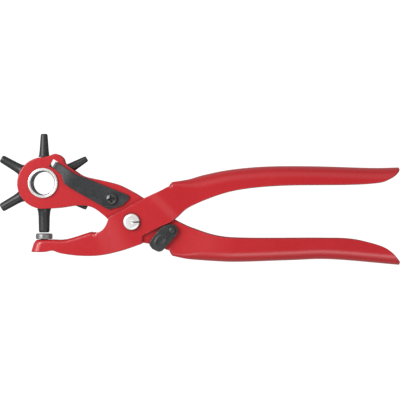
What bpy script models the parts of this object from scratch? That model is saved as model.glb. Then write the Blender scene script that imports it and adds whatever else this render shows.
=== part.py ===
"""Rotary hole punch: revolving punch pliers folded from sheet steel, with six tubes.

The tool lies flat on its back. +X runs to the handle ends, +Y to the anvil arm's
handle, and +Z up, out of the front plate. The origin is on the pivot's axis, where
the pivot nut's flat end meets the table. Everything is in metres.
"""

import math

import bmesh
import bpy
from mathutils import Matrix, Vector

MM = 0.001

# Overall layout, seen from the front
HANDLE_REACH = 147.0 * MM  # pivot to the handles' ends
HUB_BACK = 48.7 * MM  # pivot to hub, towards the nose
HUB_RISE = 21.2 * MM  # pivot to hub, upwards
SLOT_LUG = 3.6 * MM  # how far the head bulges over the index slot

# Sheet and widths, measured across the tool
SHEET = 1.6 * MM
FIT = 0.3 * MM  # running and seating clearance
WHEEL_WIDTH = 8.0 * MM
JAW_HALF = 4.75 * MM  # half width of the nose
HANDLE_STEP = 1.2 * MM  # how far the handles stand outside the pivot plates
HANDLE_BEND = 6.0 * MM  # outer bend radius of the handles
JAW_BEND = 2.0 * MM
JAW_DEPTH = 6.8 * MM  # height of the jaw's sides under the anvil

# Stretches of X over which the plates spread, from the narrow to the wide end
JAW_SPREAD = (-17.0 * MM, -13.5 * MM)
SHOULDER_SPREAD = (15.0 * MM, 21.0 * MM)
NECK_SPREAD = (26.0 * MM, 34.0 * MM)

# Ends of the webs, where the folded channels open into flat plates
JAW_WEB_END = -21.5 * MM
UPPER_WEB_START = 22.4 * MM
LOWER_WEB_START = 22.6 * MM

# Turret
BARREL_RADIUS = 6.9 * MM  # hollow hub rivet, outside
BARREL_WALL = 0.8 * MM
FLANGE_REACH = 1.4 * MM  # from the barrel to the flanges' edge
FLANGE_THICK = 0.9 * MM
FLANGE_ROLL = 0.3 * MM
WHEEL_RIM = 7.1 * MM  # from the barrel to the wheel's edge
WHEEL_CHAMFER = 0.5 * MM
HEAD_RIM = 0.5 * MM  # from the wheel's edge to the head plates' edge
SCALLOP_RADIUS = 2.9 * MM
SCALLOP_INSET = 1.0 * MM  # from the wheel's edge in to the centre of a scallop
SLUG_WINDOW = 2.8 * MM  # radius of the windows in the hub rivet

# Punch tubes: angle round the hub in degrees, hole in millimetres
TUBES = ((30, 2.5), (90, 3.0), (150, 3.5), (210, 4.0), (270, 5.0), (330, 2.0))
TUBE_STAND = 13.5 * MM  # from the wheel's edge to the cutting edges
TUBE_RADIUS = 2.8 * MM  # least radius above the collar
TUBE_WALL = 0.9 * MM
THREAD_RADIUS = 3.2 * MM  # threaded root of every tube
THREAD_START = 0.4 * MM  # from the barrel's clearance to the thread
COLLAR_STEP = 0.4 * MM
COLLAR_HEIGHT = 1.6 * MM
CUTTING_LAND = 0.15 * MM
CUTTING_SLOPE = 0.3 * MM
CUTTING_HEIGHT = 0.9 * MM
RELIEF_STEP = 0.2 * MM  # the bore widens by this behind the cutting edge
RELIEF_START = 3.0 * MM
RELIEF_TAPER = 1.0 * MM

# Anvil
ANVIL_RADIUS = 4.6 * MM
ANVIL_THICK = 3.0 * MM
ANVIL_EDGE = 0.6 * MM
STEM_RADIUS = 2.0 * MM
STEM_UPSET = 0.6 * MM  # how far the stem's riveted tail spreads
STEM_TAIL = 0.8 * MM

# Index spring, its slot, screw and spacer
SLOT_ANGLE = 61.0
SLOT_INSET = 5.0 * MM  # from the barrel to the middle of the slot
SLOT_LENGTH = 4.6 * MM
SLOT_WIDTH = 3.0 * MM
LEAF = 0.9 * MM
TAB_DIP = 0.9 * MM  # how far the tab's inner edge stays out of the scallop's floor
TAB_SIDE = 0.1 * MM  # from the slot's middle line to the tab's near face
LEAF_SCREW = Vector((-11.1, 12.4)) * MM
LEAF_SCREW_HEAD = 3.4 * MM
LEAF_SCREW_RISE = 1.7 * MM
LEAF_SCREW_SHANK = 1.5 * MM
RECESS_REACH = 2.2 * MM
RECESS_HALF = 0.45 * MM
RECESS_DEPTH = 1.1 * MM
RECESS_TURN = 12.0  # degrees
SPACER_RADIUS = 3.3 * MM

# Pivot
PIVOT_SHANK = 3.0 * MM
PIVOT_TIP = 2.0 * MM
PIVOT_HEAD = 4.6 * MM
PIVOT_HEAD_RISE = 2.0 * MM
DRIVER_SLOT_HALF = 0.5 * MM
DRIVER_SLOT_DEPTH = 0.9 * MM
NUT_HEAD = 5.5 * MM
NUT_CHAMFER = 0.3 * MM
SLEEVE_WALL = 0.7 * MM

# Opening spring
WIRE = 0.7 * MM  # radius
TURNS = 4
TURN_STEPS = 12
UPPER_LEG_AT = 32.0 * MM  # where each leg bears on its handle, from the pivot
LOWER_LEG_AT = 30.0 * MM

# Catch
CATCH_RIVET = Vector((22.1, -4.6)) * MM
CATCH_LINE = Vector((-0.64, -0.77))  # from the rivet to the thumb end
CATCH_THICK = 1.5 * MM
CATCH_SHANK = 1.1 * MM
CATCH_HEAD = 1.8 * MM
CATCH_HEAD_RISE = 0.8 * MM
WASHER_RADIUS = 2.6 * MM
WASHER_THICK = 0.4 * MM
BOSS_RADIUS = 2.8 * MM
BOSS_RISE = 0.7 * MM
BOSS_LIP = 0.6 * MM

# What follows from the sizes above
PIVOT = Vector((0.0, 0.0))
HUB = Vector((-HUB_BACK, HUB_RISE))
FLANGE_RADIUS = BARREL_RADIUS + FLANGE_REACH
WHEEL_RADIUS = BARREL_RADIUS + WHEEL_RIM
HEAD_RADIUS = WHEEL_RADIUS + HEAD_RIM
TUBE_REACH = WHEEL_RADIUS + TUBE_STAND
SCALLOP_SEAT = WHEEL_RADIUS - SCALLOP_INSET
SLOT_SEAT = BARREL_RADIUS + SLOT_INSET
NECK_IN = WHEEL_WIDTH / 2 + FIT
NECK_OUT = NECK_IN + SHEET
PLATE_IN = NECK_OUT + FIT
PLATE_OUT = PLATE_IN + SHEET
HANDLE_HALF = PLATE_OUT + HANDLE_STEP
MID = HANDLE_HALF  # height of the tool's middle plane above the table
ANVIL_TOP = HUB.y - TUBE_REACH - FIT
JAW_TOP = ANVIL_TOP - ANVIL_THICK - FIT
JAW_BELLY = JAW_TOP - JAW_DEPTH
NOSE = HUB.x - 3.1 * MM
JAW_SAG = 1.6 * MM  # how far the jaw's top dips below a straight line to the throat
HUB_TO_PIVOT = (PIVOT - HUB).normalized()
NECK_UP = Vector((-HUB_TO_PIVOT.y, HUB_TO_PIVOT.x))

# Working allowances of the construction
CLEAR = 6.0 * MM  # how far a cutter runs past what it cuts
GROW = 0.5 * MM  # how far a web's plan outline stays outside the web
EDGE = 0.1 * MM  # length over which a web's cut end rises
DEEP = 60.0 * MM  # deeper than any arm
STATION_GAP = 4.0 * MM
CURVE_STEPS = 3
WEB_ARC_STEPS = 5


# ---------------------------------------------------------------- plane curves


def polar(centre, degrees, radius):
    angle = math.radians(degrees)
    return Vector((centre.x + radius * math.cos(angle), centre.y + radius * math.sin(angle)))


def arc(centre, radius, start, end, count):
    return [polar(centre, start + (end - start) * i / count, radius) for i in range(count + 1)]


def smooth(points, steps=CURVE_STEPS):
    """A Catmull-Rom curve through the points, with the given steps to each stretch."""
    ends = [2 * points[0] - points[1], *points, 2 * points[-1] - points[-2]]
    curve = []
    for a, b, c, d in zip(ends, ends[1:], ends[2:], ends[3:]):
        for i in range(steps):
            t = i / steps
            cubic = (3 * b - a - 3 * c + d) * t**3
            square = (2 * a - 5 * b + 4 * c - d) * t**2
            curve.append((cubic + square + (c - a) * t + 2 * b) / 2)
    return [*curve, points[-1]]


def height_at(curve, x):
    """The curve's height at x, level beyond its ends. The curve runs towards +X."""
    if x <= curve[0].x:
        return curve[0].y
    for a, b in zip(curve, curve[1:]):
        if x <= b.x:
            return a.y + (b.y - a.y) * (x - a.x) / (b.x - a.x)
    return curve[-1].y


def ramp(x, start, end):
    t = min(max((x - start) / (end - start), 0.0), 1.0)
    return t * t * (3 - 2 * t)


def near_pivot(pairs):
    return [Vector(pair) * MM for pair in pairs]


def along_handle(start, pairs):
    """Points whose first number is a share of the way from start to the handle's end."""
    return [Vector((start + share * (HANDLE_REACH - start), y * MM)) for share, y in pairs]


def along_neck(pairs):
    """Points a share of the way from hub to pivot, and so many millimetres above that line."""
    return [HUB.lerp(PIVOT, share) + NECK_UP * (up * MM) for share, up in pairs]


# ---------------------------------------------------------------- meshes


def make_material(name, colour, roughness, metallic):
    material = bpy.data.materials.new(name)
    material.use_nodes = True
    shader = material.node_tree.nodes["Principled BSDF"]
    shader.inputs["Base Color"].default_value = (*colour, 1.0)
    shader.inputs["Roughness"].default_value = roughness
    shader.inputs["Metallic"].default_value = metallic
    return material


def add_object(name, bm, material, origin=PIVOT):
    """Links the mesh as an object whose own origin is at a joint's axis on the middle plane."""
    bmesh.ops.recalc_face_normals(bm, faces=bm.faces)
    place = Vector((origin.x, origin.y, 0.0))
    bmesh.ops.translate(bm, verts=bm.verts, vec=-place)
    mesh = bpy.data.meshes.new(name)
    bm.to_mesh(mesh)
    bm.free()
    mesh.shade_smooth()
    mesh.set_sharp_from_angle(angle=math.radians(35))
    obj = bpy.data.objects.new(name, mesh)
    obj.location = (place.x, place.y, MID)
    if material:
        mesh.materials.append(material)
    bpy.context.scene.collection.objects.link(obj)
    return obj


def apply_boolean(obj, tool, operation):
    tool.hide_render = True
    tool.display_type = "WIRE"
    modifier = obj.modifiers.new(tool.name, "BOOLEAN")
    modifier.operation = operation
    modifier.solver = "EXACT"
    modifier.object = tool


def add_prism(bm, outline, low, high):
    face = bm.faces.new([bm.verts.new((point.x, point.y, low)) for point in outline])
    grown = bmesh.ops.extrude_face_region(bm, geom=[face])
    tops = [item for item in grown["geom"] if isinstance(item, bmesh.types.BMVert)]
    bmesh.ops.translate(bm, verts=tops, vec=(0.0, 0.0, high - low))


def add_cylinder(bm, centre, radius, low, high, segments=32):
    add_prism(bm, arc(centre, radius, 0.0, 360.0, segments)[:-1], low, high)


def add_turned(bm, profile, matrix, segments):
    """Spins a closed profile of (radius, height) pairs round Z, then places it."""
    ring = [bm.verts.new((radius, 0.0, height)) for radius, height in profile]
    edges = [bm.edges.new(pair) for pair in zip(ring, ring[1:] + ring[:1])]
    bmesh.ops.spin(
        bm,
        geom=ring + edges,
        cent=(0.0, 0.0, 0.0),
        axis=(0.0, 0.0, 1.0),
        angle=2 * math.pi,
        steps=segments,
        use_merge=True,
    )
    bmesh.ops.remove_doubles(bm, verts=bm.verts, dist=0.002 * MM)
    bmesh.ops.transform(bm, matrix=matrix, verts=bm.verts)


def turned_object(name, profile, material, origin=PIVOT, matrix=None, segments=40):
    bm = bmesh.new()
    place = Matrix.Translation((origin.x, origin.y, 0.0))
    add_turned(bm, profile, matrix or place, segments)
    return add_object(name, bm, material, origin)


def radial_matrix(degrees):
    """Turns +Z to point outwards from the hub at the given angle."""
    return (
        Matrix.Translation((HUB.x, HUB.y, 0.0))
        @ Matrix.Rotation(math.radians(degrees), 4, "Z")
        @ Matrix.Rotation(math.radians(90), 4, "Y")
    )


# ---------------------------------------------------------------- folded arms


def section(x, web, far, side, half, bend):
    """A cross-section at x: square on its open side, rounded by the bend at its web."""
    points = [(far, half), (web - side * bend, half)]
    for i in range(1, WEB_ARC_STEPS + 1):
        turn = math.pi / 2 * i / WEB_ARC_STEPS
        points.append((web - side * bend * (1 - math.sin(turn)), half - bend * (1 - math.cos(turn))))
    mirrored = [(y, -z) for y, z in reversed(points)]
    return [(x, y, z) for y, z in points + mirrored]


def add_loft(bm, sections):
    rings = [[bm.verts.new(point) for point in ring] for ring in sections]
    for low, high in zip(rings, rings[1:]):
        for i in range(len(low)):
            j = (i + 1) % len(low)
            bm.faces.new((low[i], low[j], high[j], high[i]))
    bm.faces.new(rings[0])
    bm.faces.new(rings[-1])


def folded_arm(name, plan, stations, web_at, half_at, bend_at, webbed, side, hollow_from, material):
    """Sheet folded to a channel along its web and left as two flat plates elsewhere.

    The outer block follows the web's curve, is trimmed to the plan outline, and is then
    hollowed by the same block one sheet smaller, which runs out of the open side.
    """
    far = -side * DEEP
    blocks = []
    for inset, start in ((0.0, stations[0]), (SHEET, hollow_from)):
        rings = []
        for x in [start, *[x for x in stations if x > start + EDGE]]:
            open_above = side * (CLEAR + 2 * inset)
            web = web_at(x) + (-side * inset if webbed(x) else open_above)
            reach = far - side * 2 * inset
            bend = max(bend_at(x) - inset, FIT)
            rings.append(section(x, web, reach, side, half_at(x) - inset, bend))
        if inset:
            rings.append([(x + CLEAR, y, z) for x, y, z in rings[-1]])
        bm = bmesh.new()
        add_loft(bm, rings)
        blocks.append(bm)
    arm = add_object(name, blocks[0], material)
    trim = bmesh.new()
    add_prism(trim, plan, -HANDLE_HALF - CLEAR, HANDLE_HALF + CLEAR)
    apply_boolean(arm, add_object(f"{name}_plan", trim, None), "INTERSECT")
    apply_boolean(arm, add_object(f"{name}_hollow", blocks[1], None), "DIFFERENCE")
    return arm


def steps_between(marks, spacing):
    """Stations no further apart than the spacing, on every mark."""
    stations = []
    for a, b in zip(marks, marks[1:]):
        count = max(1, math.ceil((b - a) / spacing))
        stations.extend(a + (b - a) * i / count for i in range(count))
    return [*stations, marks[-1]]


def past_end(curve):
    """A point just past the curve's end, so that the trim never touches the block's end."""
    return Vector((curve[-1].x + GROW, curve[-1].y))


def make_anvil_arm(material):
    nose_back = HUB.x - 3.0 * MM
    belly_mid = Vector((-28.3, -18.8)) * MM
    kink = Vector((-23.3, -5.8)) * MM
    jaw_top = smooth(
        [
            Vector((NOSE, JAW_TOP)),
            Vector((HUB.x + 5.0 * MM, JAW_TOP)),
            Vector((HUB.x + 10.0 * MM, JAW_TOP - 0.1 * MM)),
            Vector((HUB.x, JAW_TOP)).lerp(kink, 0.6) - Vector((0.0, JAW_SAG)),
            kink,
            Vector((JAW_WEB_END, kink.y - 0.1 * MM)),
        ]
    )
    throat = smooth(near_pivot([(-21.4, -5.9), (-17.3, -5.3), (-14.4, -2.6), (-12.9, 0.6), (-12.3, 2.5)]))
    shoulder = smooth(near_pivot([(-12.3, 2.5), (6.3, 12.6), (17.6, 18.0), (22.3, 21.7)]))
    top_shares = [(0, 21.8), (0.07, 23.3), (0.14, 25.8), (0.26, 28.7)]
    top_shares += [(0.42, 30.4), (0.63, 30.5), (0.88, 29.6), (1, 29.9)]
    top = smooth(along_handle(UPPER_WEB_START, top_shares))
    under_shares = [(0.007, 1.0), (0.025, 2.9), (0.076, 8.1), (0.20, 14.5), (0.32, 18.0)]
    under_shares += [(0.50, 19.9), (0.78, 20.3), (0.905, 21.5), (0.96, 24.9), (1, 28.4)]
    under = smooth(along_handle(UPPER_WEB_START, under_shares))
    crotch = smooth(near_pivot([(6.3, -7.5), (14.9, -3.1), (20.3, -0.8), (23.2, 1.0)]))
    belly = smooth(
        [
            Vector((nose_back, JAW_BELLY - 0.2 * MM)),
            Vector((HUB.x + 0.3 * MM, JAW_BELLY)),
            Vector((HUB.x + 4.3 * MM, JAW_BELLY + 0.7 * MM)),
            Vector((HUB.x + 9.9 * MM, JAW_BELLY - 0.8 * MM)),
            belly_mid,
            *near_pivot([(-17.0, -18.5), (-5.5, -15.9), (6.7, -11.6)]),
        ]
    )
    nose = smooth(
        [
            Vector((NOSE, JAW_TOP + GROW)),
            Vector((NOSE - 1.6 * MM, JAW_TOP - 2.2 * MM)),
            Vector((NOSE - 2.8 * MM, JAW_BELLY + 0.7 * MM)),
            belly[0],
        ]
    )
    grown_jaw = [point + Vector((0.0, GROW)) for point in jaw_top[1:]]
    grown_top = [point + Vector((0.0, GROW)) for point in top]
    plan = [
        *reversed(nose[:-1]),
        *grown_jaw,
        *throat,
        *shoulder[1:],
        *grown_top,
        past_end(top),
        past_end(under),
        *reversed(under[1:]),
        *reversed(crotch),
        *reversed(belly),
    ]
    web = [*jaw_top, *throat, *shoulder[1:], *top]
    marks = [NOSE - CLEAR, NOSE, JAW_WEB_END, JAW_WEB_END + EDGE, *JAW_SPREAD]
    marks += [*SHOULDER_SPREAD, UPPER_WEB_START - EDGE, UPPER_WEB_START, HANDLE_REACH]

    def webbed(x):
        return x <= JAW_WEB_END or x >= UPPER_WEB_START

    def half_at(x):
        narrow = JAW_HALF + (PLATE_OUT - JAW_HALF) * ramp(x, *JAW_SPREAD)
        return narrow + HANDLE_STEP * ramp(x, *SHOULDER_SPREAD)

    def bend_at(x):
        return JAW_BEND + (HANDLE_BEND - JAW_BEND) * ramp(x, PIVOT.x, UPPER_WEB_START)

    arm = folded_arm(
        "anvil_arm",
        plan,
        steps_between(marks, STATION_GAP),
        lambda x: height_at(web, x),
        half_at,
        bend_at,
        webbed,
        1,
        NOSE,
        material,
    )
    holes = bmesh.new()
    add_cylinder(holes, PIVOT, PIVOT_SHANK + FIT, -HANDLE_HALF - CLEAR, HANDLE_HALF + CLEAR)
    stem = bmesh.new()
    add_cylinder(stem, PIVOT, STEM_RADIUS + FIT, -CLEAR / 2, CLEAR / 2, 24)
    upright = Matrix.Translation((HUB.x, JAW_TOP, 0.0)) @ Matrix.Rotation(math.radians(90), 4, "X")
    bmesh.ops.transform(stem, matrix=upright, verts=stem.verts)
    apply_boolean(arm, add_object("anvil_arm_pivot_hole", holes, None), "DIFFERENCE")
    apply_boolean(arm, add_object("anvil_arm_stem_hole", stem, None), "DIFFERENCE")
    return web


def make_wheel_arm(material):
    lug = [(76, 0.40), (68, 0.87), (60, 1.0), (51, 0.87), (42, 0.55)]
    chin = 276.0
    brow = 90.0
    head = arc(HUB, HEAD_RADIUS, chin, brow, 31)
    ridge = [(0.25, 13.2), (0.36, 12.4), (0.54, 14.2), (0.72, 15.7), (0.88, 15.3), (0.97, 14.7)]
    crown = smooth(
        [
            polar(HUB, brow - 2.0, HEAD_RADIUS),
            *[polar(HUB, angle, HEAD_RADIUS + SLOT_LUG * share) for angle, share in lug],
            *along_neck(ridge),
            *near_pivot([(12.0, 9.0), (18.0, 4.6), (22.8, 1.2)]),
        ]
    )
    upper_shares = [(0.01, 1.0), (0.03, -0.4), (0.09, -3.7), (0.20, -7.9), (0.33, -9.1)]
    upper_shares += [(0.66, -9.1), (0.80, -9.7), (0.91, -13.0), (0.965, -17.0), (1, -22.2)]
    upper = smooth(along_handle(LOWER_WEB_START, upper_shares))
    lower_shares = [(0, -18.9), (0.07, -20.7), (0.19, -21.8), (0.30, -22.1)]
    lower_shares += [(0.52, -21.2), (0.70, -20.7), (1, -23.8)]
    lower = smooth(along_handle(LOWER_WEB_START, lower_shares))
    heel = smooth(near_pivot([(22.4, -18.8), (19.4, -15.6), (13.0, -12.9), (6.6, -11.6)]))
    hollow = [(0.77, -4.2), (0.69, -2.7), (0.60, -1.6), (0.52, -1.8), (0.41, -4.0), (0.26, -8.9)]
    cheek = smooth(
        [
            *near_pivot([(6.6, -11.6), (0.0, -10.9), (-6.5, -8.2), (-10.6, -3.0)]),
            *along_neck(hollow),
            polar(HUB, chin, HEAD_RADIUS),
        ]
    )
    grown_lower = [point - Vector((0.0, GROW)) for point in lower]
    plan = [
        *head[1:-1],
        *crown,
        *upper,
        past_end(upper),
        past_end(grown_lower),
        *reversed(grown_lower),
        *heel,
        *cheek[1:],
    ]
    back = HUB.x - HEAD_RADIUS - CLEAR
    marks = [back, LOWER_WEB_START - EDGE, LOWER_WEB_START, *NECK_SPREAD, HANDLE_REACH]

    def webbed(x):
        return x >= LOWER_WEB_START

    def web_at(x):
        return height_at(lower, x) if webbed(x) else -DEEP / 2

    def half_at(x):
        return NECK_OUT + (HANDLE_HALF - NECK_OUT) * ramp(x, *NECK_SPREAD)

    def bend_at(x):
        return JAW_BEND + (HANDLE_BEND - JAW_BEND) * ramp(x, LOWER_WEB_START, NECK_SPREAD[1])

    arm = folded_arm(
        "wheel_arm",
        plan,
        steps_between(marks, STATION_GAP),
        web_at,
        half_at,
        bend_at,
        webbed,
        -1,
        back - GROW,
        material,
    )
    through = bmesh.new()
    ends = (-HANDLE_HALF - CLEAR, HANDLE_HALF + CLEAR)
    add_cylinder(through, HUB, BARREL_RADIUS + FIT, *ends, 48)
    add_cylinder(through, PIVOT, PIVOT_SHANK + FIT, *ends)
    add_cylinder(through, LEAF_SCREW, LEAF_SCREW_SHANK + FIT, 0.0, ends[1], 20)
    add_cylinder(through, CATCH_RIVET, CATCH_SHANK + FIT, 0.0, ends[1], 20)
    seat = polar(HUB, SLOT_ANGLE, SLOT_SEAT)
    add_slot(through, seat, SLOT_LENGTH, SLOT_WIDTH, 0.0, ends[1])
    add_slot(through, seat, SLOT_LENGTH, 2 * SCALLOP_RADIUS, ends[0], 0.0)
    apply_boolean(arm, add_object("wheel_arm_holes", through, None), "DIFFERENCE")
    return lower


def add_slot(bm, centre, length, width, low, high):
    """A rectangular hole whose length points at the hub."""
    out = (centre - HUB).normalized()
    across = Vector((-out.y, out.x))
    corners = []
    for a, b in ((-1, -1), (1, -1), (1, 1), (-1, 1)):
        corners.append(centre + out * (a * length / 2) + across * (b * width / 2))
    add_prism(bm, corners, low, high)


# ---------------------------------------------------------------- turret


def make_wheel(material):
    rim = WHEEL_CHAMFER
    half = WHEEL_WIDTH / 2
    bore = BARREL_RADIUS + FIT
    profile = [
        (bore, half),
        (WHEEL_RADIUS - rim, half),
        (WHEEL_RADIUS, half - rim),
        (WHEEL_RADIUS, rim - half),
        (WHEEL_RADIUS - rim, -half),
        (bore, -half),
    ]
    wheel = turned_object("turret_wheel", profile, material, HUB, segments=60)
    sockets = bmesh.new()
    for angle, _ in TUBES:
        socket = bmesh.new()
        add_cylinder(socket, PIVOT, THREAD_RADIUS + FIT, bore - CLEAR / 3, WHEEL_RADIUS + CLEAR, 20)
        bmesh.ops.transform(socket, matrix=radial_matrix(angle), verts=socket.verts)
        copy_into(sockets, socket)
    scallops = bmesh.new()
    for angle, _ in TUBES:
        centre = polar(HUB, angle + 180 / len(TUBES), SCALLOP_SEAT)
        add_cylinder(scallops, centre, SCALLOP_RADIUS, -half - CLEAR, half + CLEAR, 24)
    apply_boolean(wheel, add_object("turret_wheel_sockets", sockets, None), "DIFFERENCE")
    apply_boolean(wheel, add_object("turret_wheel_scallops", scallops, None), "DIFFERENCE")


def copy_into(target, source):
    scratch = bpy.data.meshes.new("scratch")
    source.to_mesh(scratch)
    source.free()
    target.from_mesh(scratch)
    bpy.data.meshes.remove(scratch)


def make_hub_rivet(material):
    bore = BARREL_RADIUS - BARREL_WALL
    seat = NECK_OUT + FIT
    face = seat + FLANGE_THICK
    roll = FLANGE_ROLL
    upper = [
        (bore, seat),
        (BARREL_RADIUS, face - roll / 3),
        (FLANGE_RADIUS - 2 * roll, face),
        (FLANGE_RADIUS, face - roll),
        (FLANGE_RADIUS, seat + roll),
        (FLANGE_RADIUS - roll, seat),
        (BARREL_RADIUS, seat),
    ]
    lower = [(radius, -height) for radius, height in reversed(upper)]
    rivet = turned_object("hub_rivet", upper + lower, material, HUB, segments=40)
    windows = bmesh.new()
    for angle, _ in TUBES:
        window = bmesh.new()
        add_cylinder(window, PIVOT, SLUG_WINDOW, bore - CLEAR / 4, BARREL_RADIUS + CLEAR / 4, 16)
        bmesh.ops.transform(window, matrix=radial_matrix(angle), verts=window.verts)
        copy_into(windows, window)
    apply_boolean(rivet, add_object("hub_rivet_windows", windows, None), "DIFFERENCE")


def make_tube(angle, hole, material):
    """A hollow punch: threaded root, collar, long taper and a chamfered cutting edge."""
    bore = hole * MM / 2
    relief = bore + RELIEF_STEP
    outside = max(TUBE_RADIUS, bore + TUBE_WALL)
    land = bore + CUTTING_LAND
    collar = WHEEL_RADIUS + FIT
    collar_top = collar + COLLAR_HEIGHT
    thread = BARREL_RADIUS + FIT + THREAD_START
    widening = TUBE_REACH - RELIEF_START
    profile = [
        (bore, TUBE_REACH),
        (land, TUBE_REACH),
        (land + CUTTING_SLOPE, TUBE_REACH - CUTTING_HEIGHT),
        (outside, collar_top + COLLAR_STEP),
        (outside + COLLAR_STEP, collar_top),
        (outside + COLLAR_STEP, collar),
        (THREAD_RADIUS, collar),
        (THREAD_RADIUS, thread),
        (relief, thread),
        (relief, widening - RELIEF_TAPER),
        (bore, widening),
    ]
    name = f"punch_tube_{hole:.1f}mm".replace(".", "_")
    turned_object(name, profile, material, HUB, radial_matrix(angle), 20)


# ---------------------------------------------------------------- anvil


def make_anvil(material):
    """A flat-faced steel button whose stem is riveted through the jaw's web."""
    top = ANVIL_TOP
    low = top - ANVIL_THICK
    tail = JAW_TOP - SHEET - FIT
    edge = ANVIL_EDGE
    profile = [
        (ANVIL_RADIUS - edge, top),
        (ANVIL_RADIUS - edge / 4, top - edge / 4),
        (ANVIL_RADIUS, top - edge),
        (ANVIL_RADIUS, low + edge / 2),
        (ANVIL_RADIUS - edge / 2, low),
        (STEM_RADIUS, low),
        (STEM_RADIUS, tail),
        (STEM_RADIUS + STEM_UPSET, tail),
        (STEM_RADIUS + STEM_UPSET, tail - STEM_TAIL / 2),
        (STEM_RADIUS, tail - STEM_TAIL),
    ]
    upright = Matrix.Translation((HUB.x, 0.0, 0.0)) @ Matrix.Rotation(math.radians(-90), 4, "X")
    bm = bmesh.new()
    add_solid_turned(bm, profile, upright, 28)
    add_object("anvil", bm, material)


def add_solid_turned(bm, profile, matrix, segments):
    """Spins a profile whose first and last points are closed over with flat discs."""
    steps = [2 * math.pi * i / segments for i in range(segments)]
    rings = []
    for radius, height in profile:
        rings.append([bm.verts.new((radius * math.cos(a), radius * math.sin(a), height)) for a in steps])
    for low, high in zip(rings, rings[1:]):
        for i in range(segments):
            j = (i + 1) % segments
            bm.faces.new((low[i], low[j], high[j], high[i]))
    bm.faces.new(rings[0])
    bm.faces.new(rings[-1])
    bmesh.ops.transform(bm, matrix=matrix, verts=bm.verts)


def solid_turned_object(name, profile, material, origin, segments=32):
    bm = bmesh.new()
    add_solid_turned(bm, profile, Matrix.Translation((origin.x, origin.y, 0.0)), segments)
    return add_object(name, bm, material, origin)


# ---------------------------------------------------------------- index spring


def make_index_spring(material):
    """A leaf screwed to the front plate, its tip bent down through the slot."""
    seat = polar(HUB, SLOT_ANGLE, SLOT_SEAT)
    length = (seat - LEAF_SCREW).length
    along = (seat - LEAF_SCREW).normalized()
    up = Vector((along.y, -along.x))

    def at(share, offset):
        return LEAF_SCREW + along * (length * share) + up * (offset * MM)

    upper = [(0.985, 1.3), (0.93, 2.0), (0.84, 1.9), (0.65, 1.6), (0.47, 2.8), (0.19, 4.4)]
    tail = [(-0.19, 6.7), (-0.225, 5.4), (-0.19, 0.1), (-0.06, -5.4)]
    lower = [(0.0, -5.8), (0.25, -6.1), (0.44, -6.3), (0.66, -6.2), (0.74, -5.3)]
    lower += [(0.80, -3.2), (0.88, -2.4), (0.965, -1.6)]
    outline = [
        *smooth([at(*pair) for pair in upper], 2),
        *[at(*pair) for pair in tail],
        *smooth([at(*pair) for pair in lower], 2),
    ]
    low = NECK_OUT + FIT
    bm = bmesh.new()
    add_prism(bm, outline, low, low + LEAF)
    leaf = add_object("index_spring", bm, material)
    tab = bmesh.new()
    out = (seat - HUB).normalized()
    across = Vector((-out.y, out.x))
    inner = HUB + out * (SCALLOP_SEAT - SCALLOP_RADIUS + TAB_DIP)
    outer = HUB + out * (SLOT_SEAT + SLOT_LENGTH / 2 - 2 * FIT)
    left = across * -TAB_SIDE
    right = across * (FIT + TAB_SIDE - SLOT_WIDTH / 2)
    corners = [inner + left, outer + left, outer + right, inner + right]
    add_prism(tab, corners, WHEEL_WIDTH / 4, low + LEAF / 2)
    apply_boolean(leaf, add_object("index_spring_tab", tab, None), "UNION")
    hole = bmesh.new()
    add_cylinder(hole, LEAF_SCREW, LEAF_SCREW_SHANK + FIT, low - CLEAR / 4, low + LEAF + CLEAR, 20)
    apply_boolean(leaf, add_object("index_spring_hole", hole, None), "DIFFERENCE")


def make_index_screw(material):
    seat = NECK_OUT + FIT + LEAF + FIT
    crown = seat + LEAF_SCREW_RISE
    profile = [
        (LEAF_SCREW_HEAD / 3, crown),
        (LEAF_SCREW_HEAD * 0.77, crown - LEAF_SCREW_RISE / 6),
        (LEAF_SCREW_HEAD, crown - LEAF_SCREW_RISE * 0.7),
        (LEAF_SCREW_HEAD, seat),
        (LEAF_SCREW_SHANK, seat),
        (LEAF_SCREW_SHANK, -WHEEL_WIDTH / 4),
    ]
    screw = solid_turned_object("index_spring_screw", profile, material, LEAF_SCREW)
    cross = bmesh.new()
    outline = []
    for quarter in range(4):
        turn = Matrix.Rotation(math.radians(90 * quarter + RECESS_TURN), 2)
        for reach, side in ((RECESS_HALF, -1), (RECESS_REACH, -1), (RECESS_REACH, 1)):
            outline.append(LEAF_SCREW + turn @ Vector((reach, side * RECESS_HALF)))
    add_prism(cross, outline, crown - RECESS_DEPTH, crown + CLEAR)
    apply_boolean(screw, add_object("index_spring_screw_recess", cross, None), "DIFFERENCE")


def make_spacer(name, outer, inner, material, origin):
    half = NECK_IN - FIT
    profile = [(inner, half), (outer, half), (outer, -half), (inner, -half)]
    turned_object(name, profile, material, origin, segments=32)


# ---------------------------------------------------------------- pivot


def make_pivot_screw(material):
    seat = PLATE_OUT + FIT
    crown = seat + PIVOT_HEAD_RISE
    shoulder = -NECK_IN
    profile = [
        (PIVOT_HEAD * 0.7, crown),
        (PIVOT_HEAD * 0.91, crown - PIVOT_HEAD_RISE / 5),
        (PIVOT_HEAD, crown - PIVOT_HEAD_RISE / 2),
        (PIVOT_HEAD, seat),
        (PIVOT_SHANK, seat),
        (PIVOT_SHANK, shoulder),
        (PIVOT_TIP, shoulder),
        (PIVOT_TIP, -PLATE_OUT + FIT),
    ]
    screw = solid_turned_object("pivot_screw", profile, material, PIVOT, 36)
    slot = bmesh.new()
    half = DRIVER_SLOT_HALF
    reach = PIVOT_HEAD + GROW
    corners = [Vector(pair) for pair in ((-reach, -half), (reach, -half), (reach, half), (-reach, half))]
    add_prism(slot, corners, crown - DRIVER_SLOT_DEPTH, crown + CLEAR)
    apply_boolean(screw, add_object("pivot_screw_slot", slot, None), "DIFFERENCE")


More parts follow.
